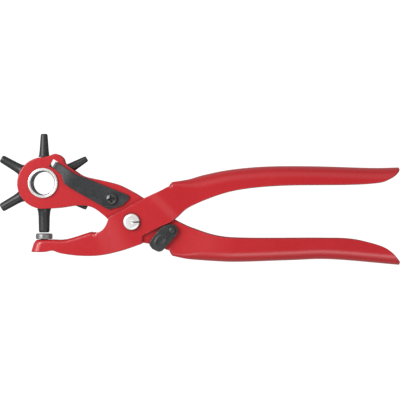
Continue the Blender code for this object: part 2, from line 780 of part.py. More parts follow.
def make_pivot_nut(material):
    """A sleeve nut whose low flat head closes the back and is what the tool rests on."""
    mouth = -NECK_IN - FIT
    floor = -PLATE_OUT
    profile = [
        (PIVOT_TIP + FIT, floor),
        (PIVOT_TIP + FIT, mouth),
        (PIVOT_SHANK, mouth),
        (PIVOT_SHANK, -PLATE_OUT - FIT),
        (NUT_HEAD, -PLATE_OUT - FIT),
        (NUT_HEAD, -HANDLE_HALF + NUT_CHAMFER),
        (NUT_HEAD - NUT_CHAMFER, -HANDLE_HALF),
    ]
    solid_turned_object("pivot_nut", profile, material, PIVOT, 36)


def tangent_angle(point, radius, sense):
    """Where a straight leg from the point meets the coil, on the side given by sense."""
    return math.atan2(point.y, point.x) + sense * math.acos(radius / point.length)


def make_opening_spring(material, upper_web, lower_web):
    """A torsion coil round the pivot sleeve, one leg under each handle's web."""
    radius = PIVOT_SHANK + FIT + SLEEVE_WALL + FIT + WIRE
    lift = NECK_IN - FIT - WIRE
    inside = SHEET + FIT + WIRE
    upper = Vector((UPPER_LEG_AT, height_at(upper_web, UPPER_LEG_AT) - inside - 2 * FIT))
    lower = Vector((LOWER_LEG_AT, height_at(lower_web, LOWER_LEG_AT) + inside + 2 * FIT))
    start = tangent_angle(lower, radius, 1)
    end = tangent_angle(upper, radius, -1) + 2 * math.pi * TURNS
    count = TURN_STEPS * TURNS
    path = [(lower.x, lower.y, -lift)]
    for i in range(count + 1):
        angle = start + (end - start) * i / count
        height = -lift + 2 * lift * i / count
        path.append((radius * math.cos(angle), radius * math.sin(angle), height))
    path.append((upper.x, upper.y, lift))
    curve = bpy.data.curves.new("opening_spring", "CURVE")
    curve.dimensions = "3D"
    curve.bevel_depth = WIRE
    curve.bevel_resolution = 2
    curve.use_fill_caps = True
    spline = curve.splines.new("POLY")
    spline.points.add(len(path) - 1)
    for point, place in zip(spline.points, path):
        point.co = (*place, 1.0)
    curve.materials.append(material)
    spring = bpy.data.objects.new("opening_spring", curve)
    spring.location = (0.0, 0.0, MID)
    bpy.context.scene.collection.objects.link(spring)


# ---------------------------------------------------------------- catch


def make_catch(material):
    """An oblong plate that turns on a rivet, with a raised thumb boss."""
    down = CATCH_LINE.normalized()
    across = Vector((down.y, -down.x))

    def at(along, offset):
        return CATCH_RIVET + down * (along * MM) + across * (offset * MM)

    head = [(3.6, 5.5), (0.6, 4.6), (-2.4, 2.3), (-3.3, 0.0), (-2.4, -2.3), (-0.3, -3.4)]
    foot = [(10.2, -3.3), (12.3, -3.0), (13.9, -1.6), (14.8, 1.9), (13.9, 5.1), (12.0, 5.4)]
    ends = [smooth([at(*pair) for pair in end], 2) for end in (head, foot)]
    low = NECK_OUT + FIT + WASHER_THICK + FIT
    bm = bmesh.new()
    add_prism(bm, [*ends[0], *ends[1]], low, low + CATCH_THICK)
    catch = add_object("catch_lever", bm, material, CATCH_RIVET)
    boss = bmesh.new()
    top = low + CATCH_THICK + BOSS_RISE
    centre = at(8.9, 0.4)
    profile = [
        (BOSS_RADIUS - 2 * BOSS_LIP, top - BOSS_LIP / 2),
        (BOSS_RADIUS - BOSS_LIP, top),
        (BOSS_RADIUS, top - BOSS_LIP),
        (BOSS_RADIUS, low + CATCH_THICK / 2),
    ]
    add_solid_turned(boss, profile, Matrix.Translation((centre.x, centre.y, 0.0)), 24)
    apply_boolean(catch, add_object("catch_lever_boss", boss, None, CATCH_RIVET), "UNION")
    hole = bmesh.new()
    add_cylinder(hole, CATCH_RIVET, CATCH_SHANK + FIT, low - GROW, low + CATCH_THICK + GROW, 20)
    apply_boolean(catch, add_object("catch_lever_hole", hole, None, CATCH_RIVET), "DIFFERENCE")


def make_catch_rivet(material):
    seat = NECK_OUT + FIT + WASHER_THICK + FIT + CATCH_THICK + FIT
    inside = NECK_IN - FIT
    profile = [
        (CATCH_HEAD * 0.45, seat + CATCH_HEAD_RISE),
        (CATCH_HEAD * 0.83, seat + CATCH_HEAD_RISE * 0.6),
        (CATCH_HEAD, seat),
        (CATCH_SHANK, seat),
        (CATCH_SHANK, inside),
        (CATCH_HEAD, inside),
        (CATCH_HEAD * 0.78, inside - CATCH_HEAD_RISE),
    ]
    solid_turned_object("catch_rivet", profile, material, CATCH_RIVET, 24)


def make_catch_washer(material):
    low = NECK_OUT + FIT
    inner = CATCH_SHANK + FIT
    high = low + WASHER_THICK
    profile = [(inner, high), (WASHER_RADIUS, high), (WASHER_RADIUS, low), (inner, low)]
    turned_object("catch_washer", profile, material, CATCH_RIVET, segments=24)


# ---------------------------------------------------------------- assembly


def build():
    for obj in list(bpy.data.objects):
        bpy.data.objects.remove(obj, do_unlink=True)
    red = make_material("red_powder_coat", (0.58, 0.03, 0.035), 0.4, 0.0)
    black = make_material("black_oxide_steel", (0.06, 0.065, 0.065), 0.45, 0.8)
    bright = make_material("nickel_plated_steel", (0.72, 0.72, 0.70), 0.25, 1.0)
    grey = make_material("ground_steel", (0.42, 0.43, 0.44), 0.35, 1.0)
    upper_web = make_anvil_arm(red)
    lower_web = make_wheel_arm(red)
    make_wheel(black)
    make_hub_rivet(bright)
    for angle, hole in TUBES:
        make_tube(angle, hole, black)
    make_anvil(grey)
    make_index_spring(black)
    make_index_screw(black)
    make_spacer("index_spring_spacer", SPACER_RADIUS, LEAF_SCREW_SHANK + FIT, grey, LEAF_SCREW)
    make_pivot_screw(bright)
    inner = PIVOT_SHANK + FIT
    make_spacer("pivot_sleeve", inner + SLEEVE_WALL, inner, grey, PIVOT)
    make_pivot_nut(bright)
    make_opening_spring(grey, upper_web, lower_web)
    make_catch(black)
    make_catch_rivet(black)
    make_catch_washer(grey)


build()
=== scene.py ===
"""Looks of a rotary hole punch: folded red arms, a turret of six tubes, and their fittings."""

import bmesh
import bpy
import numpy as np
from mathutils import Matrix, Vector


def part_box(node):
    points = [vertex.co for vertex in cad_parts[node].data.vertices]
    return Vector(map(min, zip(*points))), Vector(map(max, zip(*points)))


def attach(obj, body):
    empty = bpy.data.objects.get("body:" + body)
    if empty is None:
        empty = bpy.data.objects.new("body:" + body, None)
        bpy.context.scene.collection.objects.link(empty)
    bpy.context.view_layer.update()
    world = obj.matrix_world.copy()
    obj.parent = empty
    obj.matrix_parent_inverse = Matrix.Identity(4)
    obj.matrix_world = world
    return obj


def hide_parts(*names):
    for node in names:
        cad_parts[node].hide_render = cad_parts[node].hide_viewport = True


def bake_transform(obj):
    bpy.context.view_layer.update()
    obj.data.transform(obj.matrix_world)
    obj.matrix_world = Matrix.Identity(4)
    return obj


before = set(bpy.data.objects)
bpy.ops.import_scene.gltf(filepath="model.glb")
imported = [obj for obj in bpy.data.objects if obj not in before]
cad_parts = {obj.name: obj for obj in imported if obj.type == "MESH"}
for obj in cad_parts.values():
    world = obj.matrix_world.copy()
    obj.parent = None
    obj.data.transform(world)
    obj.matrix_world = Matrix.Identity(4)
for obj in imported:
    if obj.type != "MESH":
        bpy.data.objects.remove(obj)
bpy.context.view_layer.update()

# ---- Studio
# A white light table, which glows less on the tool than towards the camera, inside a tent
# that is open overhead, so that flat faces stay deep in colour. Two boxes add direction.

mm = 0.001
table_reach = 3.0
table_mesh = bpy.data.meshes.new("studio_floor")
table_corners = [(-1, -1), (1, -1), (1, 1), (-1, 1)]
table_points = [(x * table_reach, y * table_reach, 0.0) for x, y in table_corners]
table_mesh.from_pydata(table_points, [], [(0, 1, 2, 3)])
studio_floor = bpy.data.objects.new("studio_floor", table_mesh)
bpy.context.scene.collection.objects.link(studio_floor)
floor_paint = bpy.data.materials.new("pale_floor")
floor_paint.use_nodes = True
floor_shader = floor_paint.node_tree.nodes["Principled BSDF"]
floor_shader.inputs["Base Color"].default_value = (0.12, 0.12, 0.12, 1.0)
floor_shader.inputs["Roughness"].default_value = 0.9
floor_shader.inputs["Specular IOR Level"].default_value = 0.0
floor_shader.inputs["Emission Color"].default_value = (1.0, 1.0, 1.0, 1.0)
seen = floor_paint.node_tree.nodes.new("ShaderNodeLightPath")
glow = floor_paint.node_tree.nodes.new("ShaderNodeMapRange")
glow.inputs["To Min"].default_value = 0.3
glow.inputs["To Max"].default_value = 1.0
floor_paint.node_tree.links.new(seen.outputs["Is Camera Ray"], glow.inputs["Value"])
floor_paint.node_tree.links.new(glow.outputs["Result"], floor_shader.inputs["Emission Strength"])
table_mesh.materials.append(floor_paint)


def soft_box(name, place, aim, size, watts):
    """An area light at a place, turned so that its face looks at the aim."""
    lamp = bpy.data.lights.new(name, "AREA")
    lamp.shape = "RECTANGLE"
    lamp.size, lamp.size_y = size
    lamp.energy = watts
    holder = bpy.data.objects.new(name, lamp)
    holder.location = place
    away = np.array(place) - np.array(aim)
    holder.rotation_mode = "QUATERNION"
    holder.rotation_quaternion = Vector(-away).to_track_quat("-Z", "Y")
    bpy.context.scene.collection.objects.link(holder)


middle = (0.037, 0.012, 0.009)
soft_box("key_box", (-0.42, 0.22, 0.46), middle, (0.4, 0.4), 4.2)
soft_box("hand_box", (0.20, -0.42, 0.60), middle, (0.6, 0.3), 1.3)

world = bpy.data.worlds.new("studio_tent")
world.use_nodes = True
tent = world.node_tree
heading = tent.nodes.new("ShaderNodeTexCoord")
parts = tent.nodes.new("ShaderNodeSeparateXYZ")
brightness = tent.nodes.new("ShaderNodeFloatCurve")
tent.links.new(heading.outputs["Generated"], parts.inputs["Vector"])
tent.links.new(parts.outputs["Z"], brightness.inputs["Value"])
tent.links.new(brightness.outputs["Value"], tent.nodes["Background"].inputs["Strength"])
tent.nodes["Background"].inputs["Color"].default_value = (1.0, 1.0, 1.0, 1.0)
tent_curve = brightness.mapping.curves[0]
tent_levels = [(0.0, 0.22), (0.3, 0.4), (0.6, 0.84), (0.82, 0.78), (0.94, 0.24), (1.0, 0.15)]
tent_curve.points[0].location = tent_levels[0]
tent_curve.points[1].location = tent_levels[-1]
for height, level in tent_levels[1:-1]:
    tent_curve.points.new(height, level)
brightness.mapping.update()
bpy.context.scene.world = world
bpy.context.scene.view_settings.view_transform = "Standard"

camera_data = bpy.data.cameras.new("camera")
camera_data.lens = 114.0
camera_data.sensor_width = 36.0
camera = bpy.data.objects.new("camera", camera_data)
camera.location = (0.0374, 0.0119, 0.709)
bpy.context.scene.collection.objects.link(camera)
bpy.context.scene.camera = camera

# ---- Wheel arm
# The arm that carries the turret: 1.6 mm sheet steel, blanked, folded round its lower
# edge into a channel for the hand, left as two flat cheeks round the wheel, and
# powder coated red.

sheet = 1.6 * mm
fit = 0.3 * mm
wheel_low, wheel_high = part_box("turret_wheel")
hub = np.array([(wheel_low.x + wheel_high.x) / 2, (wheel_low.y + wheel_high.y) / 2])
mid = (wheel_low.z + wheel_high.z) / 2
wheel_radius = (wheel_high.x - wheel_low.x) / 2
wheel_half = wheel_high.z - mid
pivot = np.zeros(2)
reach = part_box("anvil_arm")[1].x
neck_face = wheel_half + fit + sheet
plate_face = neck_face + fit + sheet
handle_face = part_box("anvil_arm")[1].z - mid
head_radius = wheel_radius + 0.5 * mm
slot_lug = 3.6 * mm
rim_depth = 0.4 * mm
squareness = 2.4
handle_bend = 6.0 * mm
tight_bend = 2.0 * mm
fold_run = 4.0 * mm
fold_end = 1.2 * mm
hinge_hole = 3.3 * mm
screw_hole = 1.8 * mm
rivet_hole = 1.4 * mm
barrel_hole = 7.2 * mm
front_slot_width = 3.0 * mm
grip_spread = (26.0 * mm, 62.0 * mm)
grip_slant = 0.3


def spline(points, steps=14):
    """A Catmull-Rom curve: between two points a cubic whose end slopes are half the chord
    across each of them."""
    p = np.asarray(points, float)
    p = np.vstack([2 * p[0] - p[1], p, 2 * p[-1] - p[-2]])
    t = np.linspace(0.0, 1.0, steps, endpoint=False)[None, :, None]
    a, b, c, d = p[:-3, None], p[1:-2, None], p[2:-1, None], p[3:, None]
    cubic = (3 * b - a - 3 * c + d) * t**3
    square = (2 * a - 5 * b + 4 * c - d) * t**2
    curve = (cubic + square + (c - a) * t + 2 * b) / 2
    return np.vstack([curve.reshape(-1, p.shape[1]), p[-2]])


def polar(centre, degrees, radius):
    """Points at an angle and a radius round a centre."""
    turn = np.radians(degrees)
    return np.stack([centre[0] + radius * np.cos(turn), centre[1] + radius * np.sin(turn)], -1)


def height_on(curve, x):
    """The height of a curve that runs towards +X, read at x."""
    order = np.maximum.accumulate(curve[:, 0] + np.arange(len(curve)) * 1e-9)
    return np.interp(x, order, curve[:, 1])


def ease(x, start, end):
    """0 before start, 1 after end, and a smooth cubic between them."""
    t = np.clip((x - start) / (end - start), 0.0, 1.0)
    return t * t * (3 - 2 * t)


def distance_to(points, line):
    """The distance from each point to the nearest stretch of a polyline."""
    a, b = line[:-1], line[1:]
    along = b - a
    length = np.maximum((along**2).sum(-1), 1e-18)
    nearest = np.full(len(points), np.inf)
    for part in np.array_split(np.arange(len(points)), len(points) // 1500 + 1):
        to = points[part, None] - a
        t = np.clip((to * along).sum(-1) / length, 0.0, 1.0)
        gap = to - t[..., None] * along
        nearest[part] = np.sqrt((gap**2).sum(-1).min(-1))
    return nearest


def rim_steps(count=7):
    """Distances in from a rim at which a superellipse's quarter is evenly turned."""
    turn = np.linspace(0.0, np.pi / 2, count)
    return rim_depth * (1 - np.abs(np.cos(turn)) ** (2 / squareness))


def thickness_share(inward):
    """The share of full thickness at a distance in from the rim: a superellipse."""
    left = np.clip(1 - inward / rim_depth, 0.0, 1.0)
    return (1 - left**squareness) ** (1 / squareness)


def grid_faces(rows, columns, first=0, flip=False, close_columns=False):
    """Quads over a grid of points, optionally joined from the last column to the first."""
    index = np.arange(rows * columns).reshape(rows, columns) + first
    if close_columns:
        index = np.hstack([index, index[:, :1]])
    quads = np.stack([index[:-1, :-1], index[1:, :-1], index[1:, 1:], index[:-1, 1:]], -1)
    quads = quads.reshape(-1, 4)
    return quads[:, ::-1] if flip else quads


def make_piece(name, points, quads, material, rim=None, sharp=50.0):
    """Puts arrays into a mesh, welds what coincides, turns faces outwards, shades smooth."""
    mesh = bpy.data.meshes.new(name)
    mesh.vertices.add(len(points))
    mesh.vertices.foreach_set("co", np.asarray(points, np.float32).ravel())
    mesh.loops.add(quads.size)
    mesh.loops.foreach_set("vertex_index", quads.astype(np.int32).ravel())
    mesh.polygons.add(len(quads))
    mesh.polygons.foreach_set("loop_start", np.arange(0, quads.size, 4, dtype=np.int32))
    if rim is not None:
        mesh.attributes.new("rim", "FLOAT", "POINT").data.foreach_set("value", rim.astype(np.float32))
    mesh.update(calc_edges=True)
    weld(mesh, sharp)
    mesh.materials.append(material)
    piece = bpy.data.objects.new(name, mesh)
    bpy.context.scene.collection.objects.link(piece)
    return piece


def weld(mesh, sharp):
    """Merges doubles, drops slivers, points faces outwards and marks the sharp edges."""
    bm = bmesh.new()
    bm.from_mesh(mesh)
    bmesh.ops.remove_doubles(bm, verts=bm.verts, dist=0.002 * mm)
    bmesh.ops.dissolve_degenerate(bm, edges=bm.edges, dist=0.0005 * mm)
    bmesh.ops.recalc_face_normals(bm, faces=bm.faces)
    bm.to_mesh(mesh)
    bm.free()
    mesh.shade_smooth()
    mesh.set_sharp_from_angle(angle=np.radians(sharp))


def rods(name, ends, radius, sides=40):
    """Closed straight cylinders, one between each pair of end points, as one cutter."""
    turn = np.linspace(0.0, 2 * np.pi, sides, endpoint=False)
    points, quads, first = [], [], 0
    for low, high in ends:
        low, high = np.array(low, float), np.array(high, float)
        axis = (high - low) / np.linalg.norm(high - low)
        side = np.cross(axis, (0.0, 0.6, 0.8))
        side = side / np.linalg.norm(side)
        ring = radius * (np.cos(turn)[:, None] * side + np.sin(turn)[:, None] * np.cross(axis, side))
        points.append(np.stack([low + 0 * ring, low + ring, high + ring, high + 0 * ring]).reshape(-1, 3))
        quads.append(grid_faces(4, sides, first, close_columns=True))
        first += 4 * sides
    return make_piece(name, np.vstack(points), np.vstack(quads), None)


def block(name, corners, low, high):
    """A closed prism over a quadrilateral given by its corners, as a cutter."""
    ring = np.array(corners, float)
    centre = np.repeat(ring.mean(0)[None], len(ring), 0)
    levels = [(centre, low), (ring, low), (ring, high), (centre, high)]
    points = [np.column_stack([flat, np.full(len(ring), z)]) for flat, z in levels]
    return make_piece(name, np.vstack(points), grid_faces(4, len(ring), close_columns=True), None)


def cut(piece, cutters):
    """Takes the cutters out of the piece, keeps the result as its mesh, and removes them."""
    for cutter in cutters:
        modifier = piece.modifiers.new(cutter.name, "BOOLEAN")
        modifier.operation = "DIFFERENCE"
        modifier.solver = "MANIFOLD"
        modifier.object = cutter
    bpy.context.view_layer.update()
    done = bpy.data.meshes.new_from_object(piece.evaluated_get(bpy.context.evaluated_depsgraph_get()))
    piece.modifiers.clear()
    piece.data = done
    done.shade_smooth()
    done.set_sharp_from_angle(angle=np.radians(50.0))
    for cutter in cutters:
        bpy.data.objects.remove(cutter)


def upright(centre, low, high):
    """The two ends of a cutter that stands on the middle plane at a centre."""
    return ((centre[0], centre[1], mid + low), (centre[0], centre[1], mid + high))


def stations_over(start, end, marks, gap=0.8 * mm):
    """Places along X: even steps, rim steps in from both ends, and fine steps at marks."""
    even = np.linspace(start, end, int((end - start) / gap))
    ends = [start + rim_steps(), end - rim_steps()]
    fine = [np.linspace(low, high, count) for low, high, count in marks]
    every = np.unique(np.round(np.concatenate([even, *ends, *fine]), 7))
    return every[(every >= start) & (every <= end)]


def rim_grid(x, low, high, columns=34, joined=None, closed_start=False):
    """A grid between two edges over the stations x, closer near the rims.

    Gives each point's station, its place across, and its distance in from the nearest
    rim. Where joined is true the high edge is no rim; closed_start means no rim at x[0].
    """
    steps = rim_steps()
    length = low - high
    reach_in = 0.45 * length[:, None] * (steps / rim_depth)[None]
    lean_high = np.sqrt(1 + np.clip(np.gradient(high, x), -30.0, 30.0) ** 2)
    lean_low = np.sqrt(1 + np.clip(np.gradient(low, x), -30.0, 30.0) ** 2)
    near_high = np.minimum(steps[None] * lean_high[:, None], reach_in)
    near_low = np.minimum(steps[None] * lean_low[:, None], reach_in)
    share = np.linspace(0.0, 1.0, columns)[None, 1:-1]
    start, end = high[:, None] + near_high[:, -1:], low[:, None] - near_low[:, -1:]
    inner = start + (end - start) * share
    across = np.hstack([high[:, None] + near_high, inner, (low[:, None] - near_low)[:, ::-1]])
    along = np.repeat(x[:, None], across.shape[1], 1)

    is_open = np.ones(len(x), bool) if joined is None else ~joined
    stretches = [np.column_stack([x, low])]
    for run in np.split(np.arange(len(x)), np.flatnonzero(np.diff(is_open)) + 1):
        if is_open[run[0]]:
            stretches.append(np.column_stack([x, high])[max(run[0] - 1, 0) : run[-1] + 2])
    ends = [-1] if closed_start else [0, -1]
    for end_at in ends:
        stretches.append(np.array([[x[end_at], high[end_at]], [x[end_at], low[end_at] + 1e-9]]))
    flat = np.stack([along, across], -1).reshape(-1, 2)
    inward = np.min([distance_to(flat, line) for line in stretches], 0).reshape(across.shape)
    inward[ends] = 0.0
    inward[:, -1] = 0.0
    inward[is_open, 0] = 0.0
    return along, across, inward


def folded_sheet(name, x, web, edge, curl, notch, face_at, bend, side, material, closed_start=False):
    """A sheet folded to a channel whose web is at side (+1 above, -1 below).

    In the unrolled sheet, s runs from the web's middle line round the bend and down the
    cheek; across it the thickness follows a superellipse near every rim. Where curl is
    below 1 the fold isn't there yet and the cheek ends on the web's outline; where notch
    is 1 both cheeks join over the web. The far cheek is the near one's mirror image.
    """
    half = sheet / 2
    round_mid = bend - half
    slant = np.sqrt(1 + np.clip(np.gradient(web, x), -4.0, 4.0) ** 2)
    top = web + side * (round_mid * (1 - curl) - half * curl * slant)
    face = face_at(x, top - side * round_mid) - half
    round_mid = np.maximum(np.minimum(round_mid, 0.9 * face), 1e-7)
    flat_top = top - side * round_mid
    turn_start = face - round_mid
    flat_start = turn_start + round_mid * np.pi / 2
    drop = side * (flat_top - edge)
    into_bend = np.arccos(np.clip(1 - (side * (top - edge)) / round_mid, -1.0, 1.0))
    s_low = np.where(drop >= 0, flat_start + drop, turn_start + round_mid * into_bend)
    s_high = np.where(curl < 1, flat_start - round_mid * np.arcsin(curl), turn_start * (1 - notch))
    s_high = np.minimum(s_high, s_low)
    xs, s, inward = rim_grid(x, s_low, s_high, joined=notch >= 1, closed_start=closed_start)

    past_turn = np.clip((s - turn_start[:, None]) / round_mid[:, None], 0.0, np.pi / 2)
    past_flat = np.maximum(s - flat_start[:, None], 0.0)
    y = top[:, None] - side * (round_mid[:, None] * (1 - np.cos(past_turn)) + past_flat)
    z = np.minimum(s, turn_start[:, None]) + round_mid[:, None] * np.sin(past_turn)
    z = z + np.where(past_flat > 0, face_at(xs, y) - half - face[:, None], 0.0)
    middle_sheet = np.stack([xs, y, z], -1)
    down = np.stack([0 * s, -side * np.sin(past_turn), np.cos(past_turn)], -1)
    ahead = np.gradient(middle_sheet, axis=0)
    normal = np.cross(down, ahead) * side
    if closed_start:
        normal[0, :, 2] = 0.0
    normal = normal / np.maximum(np.linalg.norm(normal, axis=-1, keepdims=True), 1e-12)
    offset = normal * (half * thickness_share(inward))[..., None]
    rows, columns = s.shape
    points, quads, rims = [], [], []
    for mirror in (1.0, -1.0):
        for outward in (1.0, -1.0):
            first = len(points) * rows * columns
            skin = (middle_sheet + outward * offset) * (1.0, 1.0, mirror) + (0.0, 0.0, mid)
            points.append(skin.reshape(-1, 3))
            quads.append(grid_faces(rows, columns, first, mirror * outward * side < 0))
            rims.append(inward.ravel())
    return make_piece(name, np.vstack(points), np.vstack(quads), material, np.concatenate(rims))


def group_with(name, inputs, outputs):
    """An empty shader node group with the named sockets, and its two end nodes."""
    group = bpy.data.node_groups.new(name, "ShaderNodeTree")
    for label, kind, value in inputs:
        socket = group.interface.new_socket(label, in_out="INPUT", socket_type=kind)
        if value is not None:
            socket.default_value = value
    for label, kind in outputs:
        group.interface.new_socket(label, in_out="OUTPUT", socket_type=kind)
    return group, group.nodes.new("NodeGroupInput"), group.nodes.new("NodeGroupOutput")


def add_node(tree, kind, links=(), **settings):
    """A node with its settings, and its inputs linked or set in the order given."""
    node = tree.nodes.new(kind)
    for label, value in settings.items():
        setattr(node, label, value)
    for socket, value in links:
        if isinstance(value, bpy.types.NodeSocket):
            tree.links.new(value, node.inputs[socket])
        else:
            node.inputs[socket].default_value = value
    return node


def math_node(tree, operation, first, second=0.0, clamp=False):
    """One arithmetic step on two values or sockets."""
    node = add_node(tree, "ShaderNodeMath", ((0, first), (1, second)), operation=operation, use_clamp=clamp)
    return node.outputs[0]


def make_mottle_group():
    """Broad and fine cloudiness of a surface: a tone from 0 to 1 and a bump height.

    Tone mixes a slow noise with a fine one; height is the fine one alone."""
    group, given, out = group_with(
        "mottle",
        [
            ("Vector", "NodeSocketVector", None),
            ("Broad Scale", "NodeSocketFloat", 60.0),
            ("Fine Scale", "NodeSocketFloat", 900.0),
            ("Fine Share", "NodeSocketFloat", 0.4),
        ],
        [("Tone", "NodeSocketFloat"), ("Height", "NodeSocketFloat")],
    )
    vector = given.outputs["Vector"]
    broad_scale = given.outputs["Broad Scale"]
    broad = add_node(group, "ShaderNodeTexNoise", (("Vector", vector), ("Scale", broad_scale)))
    fine = add_node(group, "ShaderNodeTexNoise", (("Vector", vector), ("Scale", given.outputs["Fine Scale"])))
    broad.inputs["Detail"].default_value = 3.0
    fine.inputs["Detail"].default_value = 2.0
    mixed = add_node(
        group,
        "ShaderNodeMix",
        (("Factor", given.outputs["Fine Share"]), ("A", broad.outputs[0]), ("B", fine.outputs[0])),
    )
    group.links.new(mixed.outputs[0], out.inputs["Tone"])
    group.links.new(fine.outputs[0], out.inputs["Height"])
    return group


def make_rim_group():
    """How close a point is to a blanked rim, broken up by noise: 1 on the rim, 0 inside.

    The stored distance is divided by a width, taken from 1, and scaled by the noise."""
    group, given, out = group_with(
        "rim_wear",
        [
            ("Vector", "NodeSocketVector", None),
            ("Distance", "NodeSocketFloat", 1.0),
            ("Width", "NodeSocketFloat", 0.0003),
            ("Breakup", "NodeSocketFloat", 0.5),
        ],
        [("Mask", "NodeSocketFloat")],
    )
    share = math_node(group, "DIVIDE", given.outputs["Distance"], given.outputs["Width"])
    near = math_node(group, "SUBTRACT", 1.0, share, clamp=True)
    noise = add_node(group, "ShaderNodeTexNoise", (("Vector", given.outputs["Vector"]), ("Scale", 420.0)))
    broken = math_node(group, "MULTIPLY", noise.outputs[0], given.outputs["Breakup"])
    kept = math_node(group, "SUBTRACT", 1.0, broken, clamp=True)
    group.links.new(math_node(group, "MULTIPLY", near, kept), out.inputs["Mask"])
    return group


mottle_group = make_mottle_group()
rim_group = make_rim_group()


def use_group(tree, group, links):
    """Places a node group and links or sets its inputs."""
    return add_node(tree, "ShaderNodeGroup", links, node_tree=group)


def start_material(name, metallic):
    """A material with its tree, its Principled shader and Object coordinates."""
    material = bpy.data.materials.new(name)
    material.use_nodes = True
    tree = material.node_tree
    shader = tree.nodes["Principled BSDF"]
    shader.inputs["Metallic"].default_value = metallic
    place = tree.nodes.new("ShaderNodeTexCoord").outputs["Object"]
    return material, tree, shader, place


def ramp_between(tree, factor, low, high):
    """A colour that runs from low to high as the factor goes from 0 to 1."""
    node = add_node(tree, "ShaderNodeMix", (("Factor", factor),), data_type="RGBA")
    node.inputs["A"].default_value = (*low, 1.0)
    node.inputs["B"].default_value = (*high, 1.0)
    return node.outputs["Result"]


def fade_to(tree, factor, body, worn):
    """A body colour that gives way to a worn one as the factor goes from 0 to 1."""
    node = add_node(tree, "ShaderNodeMix", (("Factor", factor),), data_type="RGBA")
    tree.links.new(body, node.inputs["A"])
    node.inputs["B"].default_value = (*worn, 1.0)
    return node.outputs["Result"]


def range_of(tree, value, low, high, to_low, to_high):
    """Maps a value from one range to another, held at its ends."""
    links = (("Value", value), ("From Min", low), ("From Max", high), ("To Min", to_low), ("To Max", to_high))
    return add_node(tree, "ShaderNodeMapRange", links).outputs["Result"]


def bump_on(tree, shader, height, strength, distance):
    """Feeds a height to the shader's normal."""
    links = (("Height", height), ("Strength", strength), ("Distance", distance))
    node = add_node(tree, "ShaderNodeBump", links)
    tree.links.new(node.outputs["Normal"], shader.inputs["Normal"])


def make_red_coat():
    """Satin powder coat: slow orange peel, and colour that darkens on the rims."""
    material, tree, shader, place = start_material("red_powder_coat", 0.0)
    mottle = use_group(tree, mottle_group, (("Vector", place), ("Broad Scale", 45.0), ("Fine Scale", 620.0)))
    body = ramp_between(tree, mottle.outputs["Tone"], (0.385, 0.0075, 0.0125), (0.455, 0.0105, 0.0155))
    distance = add_node(tree, "ShaderNodeAttribute", attribute_name="rim").outputs["Fac"]
    wear = use_group(tree, rim_group, (("Vector", place), ("Distance", distance), ("Width", 0.00035)))
    thin = fade_to(tree, wear.outputs["Mask"], body, (0.22, 0.010, 0.012))
    tree.links.new(thin, shader.inputs["Base Color"])
    rough = range_of(tree, mottle.outputs["Tone"], 0.3, 0.7, 0.30, 0.38)
    tree.links.new(rough, shader.inputs["Roughness"])
    shader.inputs["Coat Weight"].default_value = 0.25
    shader.inputs["Coat Roughness"].default_value = 0.22
    bump_on(tree, shader, mottle.outputs["Height"], 0.25, 0.00006)
    return material


red_coat = make_red_coat()
web_start = 22.6 * mm
chin, brow = 276.0, 90.0
to_pivot = (pivot - hub) / np.linalg.norm(pivot - hub)
neck_up = np.array([-to_pivot[1], to_pivot[0]])


def near_pivot(pairs):
    """Points given in millimetres from the pivot."""
    return np.array(pairs, float) * mm


def along_neck(pairs):
    """Points a share of the way from hub to pivot, so many millimetres above that line."""
    pairs = np.array(pairs, float)
    return hub + (pivot - hub) * pairs[:, :1] + neck_up * pairs[:, 1:] * mm


def along_handle(start, pairs):
    """Points whose first number is a share of the way from start to the handle's end."""
    pairs = np.array(pairs, float)
    return np.column_stack([start + pairs[:, 0] * (reach - start), pairs[:, 1] * mm])


def wheel_arm_face(px, py):
    """Half width of the arm: the neck's, easing out to the hand's along a slanted line."""
    return neck_face + (handle_face - neck_face) * ease(px - grip_slant * py, *grip_spread)


lug = np.array([(76, 0.40), (68, 0.87), (60, 1.0), (51, 0.87), (42, 0.55)])
crown = spline(
    np.vstack(
        [
            polar(hub, brow - 2.0, head_radius)[None],
            polar(hub, lug[:, 0], head_radius + slot_lug * lug[:, 1]),
            along_neck([(0.25, 13.2), (0.36, 12.4), (0.54, 14.2), (0.72, 15.7), (0.88, 15.3), (0.97, 14.7)]),
            near_pivot([(12.0, 9.0), (18.0, 4.6), (22.8, 1.2)]),
        ]
    )
)
grip_upper = [(0.01, 1.0), (0.03, -0.4), (0.09, -3.7), (0.20, -7.9), (0.33, -9.1)]
grip_upper += [(0.66, -9.1), (0.80, -9.7), (0.91, -13.0), (0.965, -17.0), (1, -22.2)]
grip_lower = [(0, -18.9), (0.07, -20.7), (0.19, -21.8), (0.30, -22.1)]
grip_lower += [(0.52, -21.2), (0.70, -20.7), (1, -23.8)]
heel = near_pivot([(6.6, -11.6), (13.0, -12.9), (19.4, -15.6), (22.4, -18.8)])
cheek = np.vstack(
    [
        polar(hub, chin, head_radius)[None],
        along_neck([(0.26, -8.9), (0.41, -4.0), (0.52, -1.8), (0.60, -1.6), (0.69, -2.7), (0.77, -4.2)]),
        near_pivot([(-10.6, -3.0), (-6.5, -8.2), (0.0, -10.9), (6.6, -11.6)]),
    ]
)
head_top = polar(hub, np.linspace(180.0, brow, 91), head_radius)
head_low = polar(hub, np.linspace(180.0, chin, 97), head_radius)
arm_top = np.vstack([head_top[:-1], crown, spline(along_handle(web_start, grip_upper))])
grip_line = spline(along_handle(web_start, grip_lower))
arm_low = np.vstack([head_low[:-1], spline(cheek)[:-1], spline(heel)[:-1], grip_line])
arm_start = hub[0] - head_radius
round_end = arm_start + head_radius * (1 - np.cos(np.radians(np.arange(0.0, 60.0, 1.5))))
lug_span = polar(hub, np.array([80, 40]), 17 * mm)[:, 0]
x = stations_over(arm_start, reach, [(web_start - fold_run, web_start + rim_depth, 60), (*lug_span, 50)])
